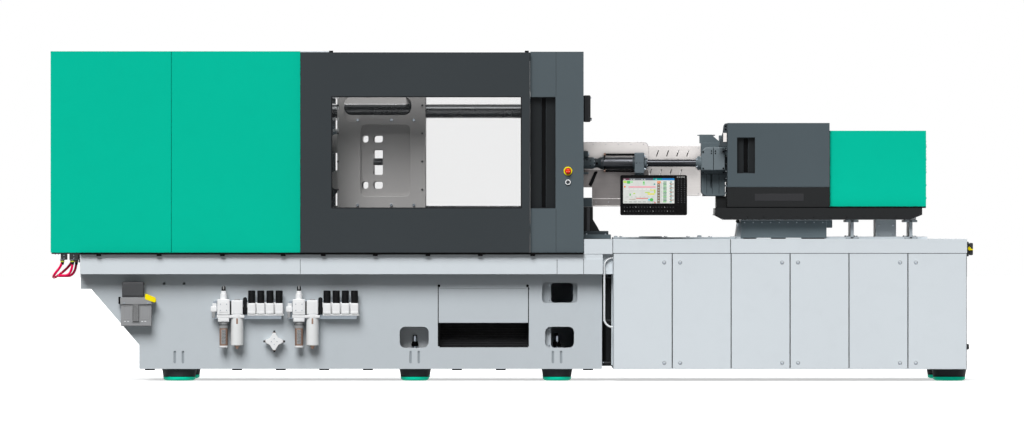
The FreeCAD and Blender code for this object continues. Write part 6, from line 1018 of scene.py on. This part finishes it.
@built("nose_fittings", "machine", "casting_paint")
def nose_fittings(work):
    """Small fittings between the pillar and the barrel guard, and the coated foot of the stand."""
    work.prism("y",
               [(606, 1474), (614, 1486), (606, 1492), (590, 1488), (546, 1394), (562, 1386), (572, 1390)],
               (-207, -191), RUBBER, edge=5)
    work.boxes(MACHINERY, 6, (511, 545, -292, -200, 1590, 1636))
    work.rod("x", (508, 552), -270, 1612, 26, ZINC, edge=2)
    work.boxes(MACHINERY, 3, (509, 548, -300, -215, 1470, 1484))
    work.boxes(MACHINERY, 2, (512.5, 705.5, -441.5, 441.5, 1008.2, 1039.5))
    work.boxes(DARK_MACHINERY, 2, (509.6, 687.5, -421.5, 421.5, 1038, 1064.5))
    for side in (-1, 1):
        cheek = flank(side, 402, 298)
        work.prism("y",
                   [(509.6, 1063), (626.5, 1063), (600, 1110), (577.5, 1146), (577.5, 1236), (509.6, 1236)],
                   cheek, BLACK, edge=2)
        work.box((509.6, 571), cheek, (1237, 1302), COVER, edge=4)
        work.box((533, 555), flank(side, 405, 401), (1066, 1232), SOCKET_DARK)
    work.bolts("z", 1039.5, (530, 666), (-431, 431), 14, out=1, hexagon=True)


@built("barrel_hood", "machine", "stainless_sheet", "barrel_guard")
def barrel_hood(work):
    """The hood over the barrel: bright sides and a rounded top, darker below as painted shade, on two arms.
    """
    left, right, half, top, bend = 511, 975, 190, 1700, 36

    def corner(radius, turns):
        return [(right - bend + radius * math.sin(turn), top - bend + radius * math.cos(turn))
                for turn in turns]

    outer = corner(bend, row(0, PI / 16, 9))
    for side in (-1, 1):
        sheet = flank(side, half, half - 2.5)
        work.prism("y", [(left, 1500), (left, top), *outer, (right, 1500)], sheet, SHEET, edge=0.8, steps=1)
        # The lower part of each side is a darker copy of the sheet: painted shade.
        work.prism("y",
                   [(left, 1377), (left, 1500.5), (right, 1500.5), (right, 1240), (575, 1240), (575, 1377)],
                   sheet, SHADED_SHEET, edge=0.8, steps=1)
        lip = flank(side, half + 1, half - 2)
        work.box((576, 974), lip, (1293, 1298), SHEET, edge=0.8)
        work.box((576, 770), lip, (1241, 1248), SHEET, edge=0.8)
        work.bolts("y", side * half, row(600, 90, 5), (1271,), 7, out=side)
        work.bolts("y", side * half, row(580, 90, 5), (1684,), 6, out=side)
        work.box((420, 541), flank(side, 188, 180), (1600, 1680), SHEET)
    inner = corner(bend - 2.5, row(PI / 2, -PI / 16, 9))
    work.prism("y", [(left, top), *outer, *inner, (left, top - 2.5)], (-half, half), SHEET, edge=0)


@built("sliding_guard_trim", "carriage", "stainless_sheet")
def sliding_guard_trim(work):
    """Rivets and a hem of the sliding guard."""
    work.bolts("y", -176, (967, 1332), (1330, 1500, 1658), 7)
    work.boxes(SHEET, 0.8, (956, 1347, -177.6, -175.8, 1317, 1323))


@built("feed_fittings", "carriage", "casting_paint")
def feed_fittings(work):
    """Shells, bolts and split lines of the feed housing."""
    for side in (-1, 1):
        work.prism("y", [(1353, 1494), (1353, 1352), (1358, 1334), (1372, 1321), (1392, 1315), (1523, 1313.5),
                         (1523, 1494)], flank(side, 194, 168), MACHINERY, edge=5, steps=3)
        for x in (1392, 1432, 1480):
            work.box((x - 2, x + 2), flank(side, 194.6, 193), (1330, 1478), DARK_MACHINERY, edge=0.6)
        work.box((1352.5, 1523), flank(side, 197, 189), (1472, 1492), MACHINERY, edge=4, steps=3)
        work.prism("y", [(1351, 1497), (1351, 1603), (1362, 1642), (1384, 1662), (1500, 1662), (1521, 1646),
                         (1521, 1497)], flank(side, 309.5, 188), CAST_LIGHT, edge=8, steps=4)
        work.box((1436, 1440), flank(side, 310.4, 300), (1500, 1660), INK, edge=0.4)
        work.bolts("y", side * 309.5, (1364, 1508), (1512, 1630), 12, material=INK, out=side)
        work.bolts("y", side * 309.5, (1424, 1452), (1620, 1636), 9, material=INK, out=side)
    work.bolts("y", -197, (1366, 1510), (1482,), 9, material=INK)
    work.prism("y", [(1474, 1664), (1486, 1716), (1502, 1764), (1508, 1814), (1518, 1831), (1536, 1833),
                     (1536, 1664)],
               (-386, -350), DARK_MACHINERY, edge=4, steps=3)
    work.boxes(SHEET, 2, (1506, 1532, -390, -385, 1700, 1764))
    work.bolts("y", -386, (1524,), (1790, 1814), 12, material=INK)
    work.boxes(INK, 0, (1352, 1524, -197.6, -195, 1470, 1472.5), (1352, 1524, -197.6, -195, 1492, 1494.5))
    for z in row(1336, 52, 8):
        work.rod("y", (-188, -150), 1530, z, 15, INK, edge=2, sides=16)
        work.bolt("y", -188, 1530, z, 10)
    for y in (-260, 260):
        for turn in row(0.8, PI / 2, 4):
            work.bolt("x", 1323, y + 37 * math.cos(turn), CYLINDER_Z + 37 * math.sin(turn), 12)
        work.ring("x", (1312, 1325), y, CYLINDER_Z, 54, 72, MACHINERY, edge=2)
    work.ring("z", (1746, 1753.5), 1391, 0, 61, 130, MACHINERY, edge=3)
    for turn in row(PI / 4, PI / 2, 4):
        work.rod("z", (1746, 1753.9), 1391 + 50 * math.cos(turn), 50 * math.sin(turn), 12, ZINC, edge=2)


@built("cover_band", "carriage", "dark_paint")
def cover_band(work):
    """The black band round the injection cover's foot, its inset, the lined grip and the rear vents."""
    (left, right), (front, _), (foot, _) = span("injection_cover")
    low, top = foot + 0.5, foot + 142
    for side in (-1, 1):
        work.box((left - 0.5, right + 0.5), flank(side, -front + 1.5, -front - 1.5), (low, top), BLACK,
                 edge=1.2)
    work.boxes(BLACK, 1, (left - 1.5, left + 1, front, -228, low, top),
               (left - 1.5, left + 1, 228, -front, low, top))
    work.prism("y", rounded(1732, 2080, foot + 45, foot + 95, 3), (front - 2.3, front - 1), INSET, edge=0.6)
    start, end, bottom, lid, back = 1605, 1733, 1476, 1732, front + 40
    work.boxes(GRIP, 0.8, (start + 0.5, start + 46, back - 3, back - 0.5, bottom + 1, lid - 1),
               (start + 80, end - 0.5, back - 3, back - 0.5, bottom + 1, lid - 1),
               *[(start + 1, end - 1, front + 1, back, z - 2, z + 2) for z in (bottom, lid)],
               *[(x - 2, x + 2, front + 1, back, bottom, lid) for x in (start, end)])
    work.boxes(INK, 0, (start + 44, start + 82, back + 9, back + 11, bottom, lid))
    work.louvres("y", (1640, 2180), 400.5, (1560, 1760), 1, COVER)
    work.bolts("y", 400, row(1580, 160, 5), (1410,), 9, out=1)


@built("motor_cover_trim", "carriage", "green_paint")
def motor_cover_trim(work):
    """Vents, screws and edge catches of the green cover."""
    (left, right), (front, _), _ = span("motor_cover")
    work.louvres("x", (-250, 250), right, (1500, 1720), 1, GREEN)
    work.louvres("y", (2340, 2880), 370.5, (1500, 1700), 1, GREEN)
    work.boxes(GREEN, 1.5, *[(right - 6, right + 3.5, -366, -340, z - 6, z + 6) for z in row(1300, 92, 5)])
    work.boxes(INK, 0.5, (left + 2, right - 2, front - 0.6, front + 1, 1235.5, 1240))
    work.bolts("y", 370, (2300, 2922), (1270, 1745), 10, out=1)


@built("tray_trim", "carriage", "dark_paint")
def tray_trim(work):
    """Bolts of the tray, and the rubber seal under the covers."""
    work.boxes(INK, 0.8, (1536, 2952, -398, -392, 1228.3, 1234.7))
    work.bolts("y", span("carriage_base")[1][0], row(1560, 118, 12), (1166,), 8, material=BLACK)


# ---------------------------------------------------------------- operator's panel
SPREAD = ((20, 44, "plum"), (64, 82, "dusk"), (146, 88, "slate"), (234, 62, "teal"), (296, 88, "blue"))
PATCHES = ((22, 228, 24, 16, "lime"), (48, 224, 22, 20, "green"), (72, 230, 18, 12, "mint"),
           (160, 214, 14, 28, "mint"), (164, 226, 8, 10, "green"), (238, 216, 10, 9, "teal"),
           (262, 226, 24, 16, "orange"), (58, 197, 194, 7, "pink"), (210, 176, 34, 7, "yellow"),
           (176, 158, 34, 7, "lime"), (194, 146, 50, 9, "yellow"), (240, 156, 10, 26, "lime"),
           (66, 138, 8, 16, "green"), (92, 150, 14, 8, "lime"), (62, 112, 46, 3, "brown"),
           (112, 118, 86, 4, "red"))


@built("operator_panel", "control_panel", "dark_paint")
def operator_panel(work):
    """A black panel with a lit screen of plain colour fields, and flat keys at its right and bottom."""
    (left, _), _, (low, high) = span("control_panel")
    right, face = left + 474, -880
    work.prism("y", rounded(left, right, low, high, 12), (face, -846), PANEL_BLACK, edge=3, steps=3)
    work.prism("y", rounded(left + 20, right - 20, low + 20, high - 20, 10), (-848, -822), DARK_PLASTIC,
               edge=5)
    work.band(rounded(left + 15, left + 389, low + 79, low + 267, 5),
              rounded(left + 20, left + 384, low + 84, low + 262, 2),
              (face - 1.2, face + 2), PANEL_BLACK)

    def raised(x, z, wide, tall, depth, material, back=0):
        work.box((left + x, left + x + wide), (face - depth, face + back), (low + z, low + z + tall),
                 material,
                 edge=0.3, steps=1)

    def lit(name, x, z, wide, tall, depth=1.2):
        raised(x, z, wide, tall, depth, LIT[name], back=1)

    def key(x, z, wide, tall):
        work.box((left + x, left + x + wide), (face - 1.4, face + 1), (low + z, low + z + tall), PANEL_BLACK,
                 edge=1.2)

    lit("paper", 20, 84, 364, 178, 0.4)
    for x, wide, name in SPREAD:
        lit(name, x, 248, wide, 14, 0.8)
    for x in (26, 74, 92, 150, 168, 250):
        lit("pale", x, 252, 10, 5)
    for x, z, wide, tall, name in PATCHES:
        lit(name, x, z, wide, tall)
    for name, x, z, dia in (("orange", 32, 202, 12), ("green", 222, 110, 24), ("cyan", 204, 110, 14),
                            ("red", 246, 90, 9)):
        work.rod("y", (face - 1.8, face), left + x, low + z, dia, LIT[name], edge=0.4, sides=20)
    for number in range(7):
        lit("grey", 28 + 33 * number, 92, 22, 6)
        lit("white", 40 + 30 * number, 180, 22, 8)
        lit("grey", 44 + 30 * number, 128, 14, 3)
    lit("bark", 262, 86, 20, 138, 1.0)
    lit("white", 290, 88, 92, 156, 1.0)
    for number, z in enumerate(row(92, 9.4, 16)):
        lit("pale" if number % 2 else "brown", 266, z, 12, 4, 1.4)
        lit("leaf" if number % 4 else "green", 304 + number % 2, z, 24, 6, 1.4)
        lit("dusk", 292, z, 6, 3, 1.4)
        lit(("teal", "brown", "bark")[number % 3], 350 + 3 * (number % 2), z, 15, 6, 1.4)
        if number % 3:
            lit("dusk", 370, z, 8, 4, 1.4)
    for x in (402, 425, 448):
        for z in row(86, 15.2, 12):
            key(x, z, 16, 10)
            raised(x + 6, z + 3, 6, 3.5, 1.7, KEY_GREY)
    for line, z in enumerate((22, 50)):
        for place, x in enumerate(row(22, 20.4, 18)):
            key(x, z, 14, 12)
            raised(x + 4, z + 5, 6, 3.5, 1.7, KEY_GREY if (place + line) % 5 else KEY_WHITE)
    for x in row(402, 15, 4):
        raised(x, 268, 10, 5, 1.7, KEY_WHITE)


@built("panel_arm_trim", "panel_arm", "dark_paint")
def panel_arm_trim(work):
    """Collars of the arm's pivot, and clips along the arm."""
    work.ring("z", (1424, 1440), 909, -260, 66, 92, MACHINERY, edge=3)
    work.ring("z", (1364, 1372), 909, -260, 60, 84, DARK_PLASTIC, edge=2)
    work.boxes(MACHINERY, 3, *[(880, 938, y - 8, y + 8, 1377, 1428) for y in row(-700, 90, 5)])


# ---------------------------------------------------------------- clamp unit seen through the window
@built("platen_marks", "moving_platen", "casting_paint")
def platen_marks(work):
    """Pale adjustment marks at the platen's edge, and screws round its pocket."""
    for z in row(2024, -78, 4):
        for number, x in enumerate(row(-1276, 12, 4)):
            work.box((x, x + 6), (-501.2, -499.5), (z - 16, z + 2 + 4 * (number % 2)), ENAMEL, edge=0.6,
                     steps=1)
    work.bolts("y", -500, (-1100, -860, -700), (1250, 1855), 20)
    work.bolts("y", -500, (-1240, -640), row(1160, 200, 5), 14, material=DARK_PLASTIC)


@built("platen_pipes", "machine", "casting_paint")
def platen_pipes(work):
    """Grease nipples, their pipes and bolts on the fixed platen's sides."""
    for side in (-1, 1):
        near, far = 510 * side, 514 * side
        for z in (1240, 1560, 1880):
            work.rod("y", flank(side, 500, 514), 215, z, 16, BRASS, edge=2)
        work.tube([(215, near, 1240), (232, far, 1400), (232, far, 1700), (215, near, 1880)], 9, BRASS)
        work.bolts("y", 500 * side, (130, 300), (1100, 2000), 26, out=side, hexagon=True)


@built("motor_ribs", "machine", "casting_paint")
def motor_ribs(work):
    """Cooling ribs of the clamp's motor."""
    (left, _), (front, _), (low, high) = span("clamp_motor")
    work.boxes(DARK_MACHINERY, 2, *[(x, x + 10, front - 6, front + 2, low + 60, high - 120)
                                    for x in row(left + 60, 34, 9)])
    work.mirror()


for gate, side in (("front_gate", -1), ("rear_gate", 1)):
    @built(f"{gate}_trim", gate, "gate_paint")
    def gate_trim(work):
        """Rubber glazing strips round the window, outside and inside."""
        extra = 20 if side > 0 else 0
        low, high = 1225 - extra, 2020 + extra
        for near, far in ((911.5, 924.3), (889, 902)):
            work.band(rounded(-1282, 70, low, high, 6), rounded(-1275, 63, low + 7, high - 7, 5),
                      flank(side, near, far), RUBBER)

# ---------------------------------------------------------------- stage
AMBIENT = 0.16
KEY = 3.55
FILL = 1.6
FLOOR_LIFT = 0.55
WHITE = (1.0, 1.0, 1.0, 1.0)
floor_data = bpy.data.meshes.new("floor")
floor_mesh = bmesh.new()
bmesh.ops.create_grid(floor_mesh, x_segments=1, y_segments=1, size=150)
floor_mesh.to_mesh(floor_data)
floor_mesh.free()
floor = bpy.data.objects.new("floor", floor_data)
bpy.context.scene.collection.objects.link(floor)
ground = Finish("pale_floor")
rays = ground.node("ShaderNodeLightPath")
seen = ground.math("MAXIMUM", rays.outputs["Is Camera Ray"], rays.outputs["Is Glossy Ray"])
seen = ground.math("MAXIMUM", seen, rays.outputs["Is Transmission Ray"])
ground.feed(Base_Color=ground.blended(seen, (0.22, 0.22, 0.22, 1.0), (0.9, 0.9, 0.9, 1.0)), Roughness=0.9,
            Specular_IOR_Level=0.1, Emission_Strength=ground.math("MULTIPLY", seen, FLOOR_LIFT),
            Emission_Color=WHITE)
floor_data.materials.append(ground.material)

world = bpy.data.worlds.new("studio")
bpy.context.scene.world = world
world.use_nodes = True
sky = world.node_tree
backdrop = sky.nodes["Background"]
backdrop.inputs["Color"].default_value = WHITE
path = sky.nodes.new("ShaderNodeLightPath")


def either(first, second):
    made = sky.nodes.new("ShaderNodeMath")
    made.operation = "MAXIMUM"
    sky.links.new(first, made.inputs[0])
    sky.links.new(second, made.inputs[1])
    return made.outputs[0]


strength = sky.nodes.new("ShaderNodeMapRange")
strength.inputs["To Min"].default_value = AMBIENT
strength.inputs["To Max"].default_value = 1.0
mirrored = either(path.outputs["Is Glossy Ray"], path.outputs["Is Transmission Ray"])
sky.links.new(either(path.outputs["Is Camera Ray"], mirrored), strength.inputs["Value"])
sky.links.new(strength.outputs["Result"], backdrop.inputs["Strength"])


def lamp(name, azimuth, elevation, power, soft):
    """A broad far lamp. Azimuth runs from the front to the right, elevation up, and soft is its width."""
    data = bpy.data.lights.new(name, "SUN")
    data.energy = power
    data.angle = math.radians(soft)
    light = bpy.data.objects.new(name, data)
    light.rotation_euler = (math.radians(90 - elevation), 0.0, math.radians(azimuth))
    bpy.context.scene.collection.objects.link(light)


lamp("key", -14, 46, KEY, 34)
lamp("fill", 200, 30, FILL, 40)
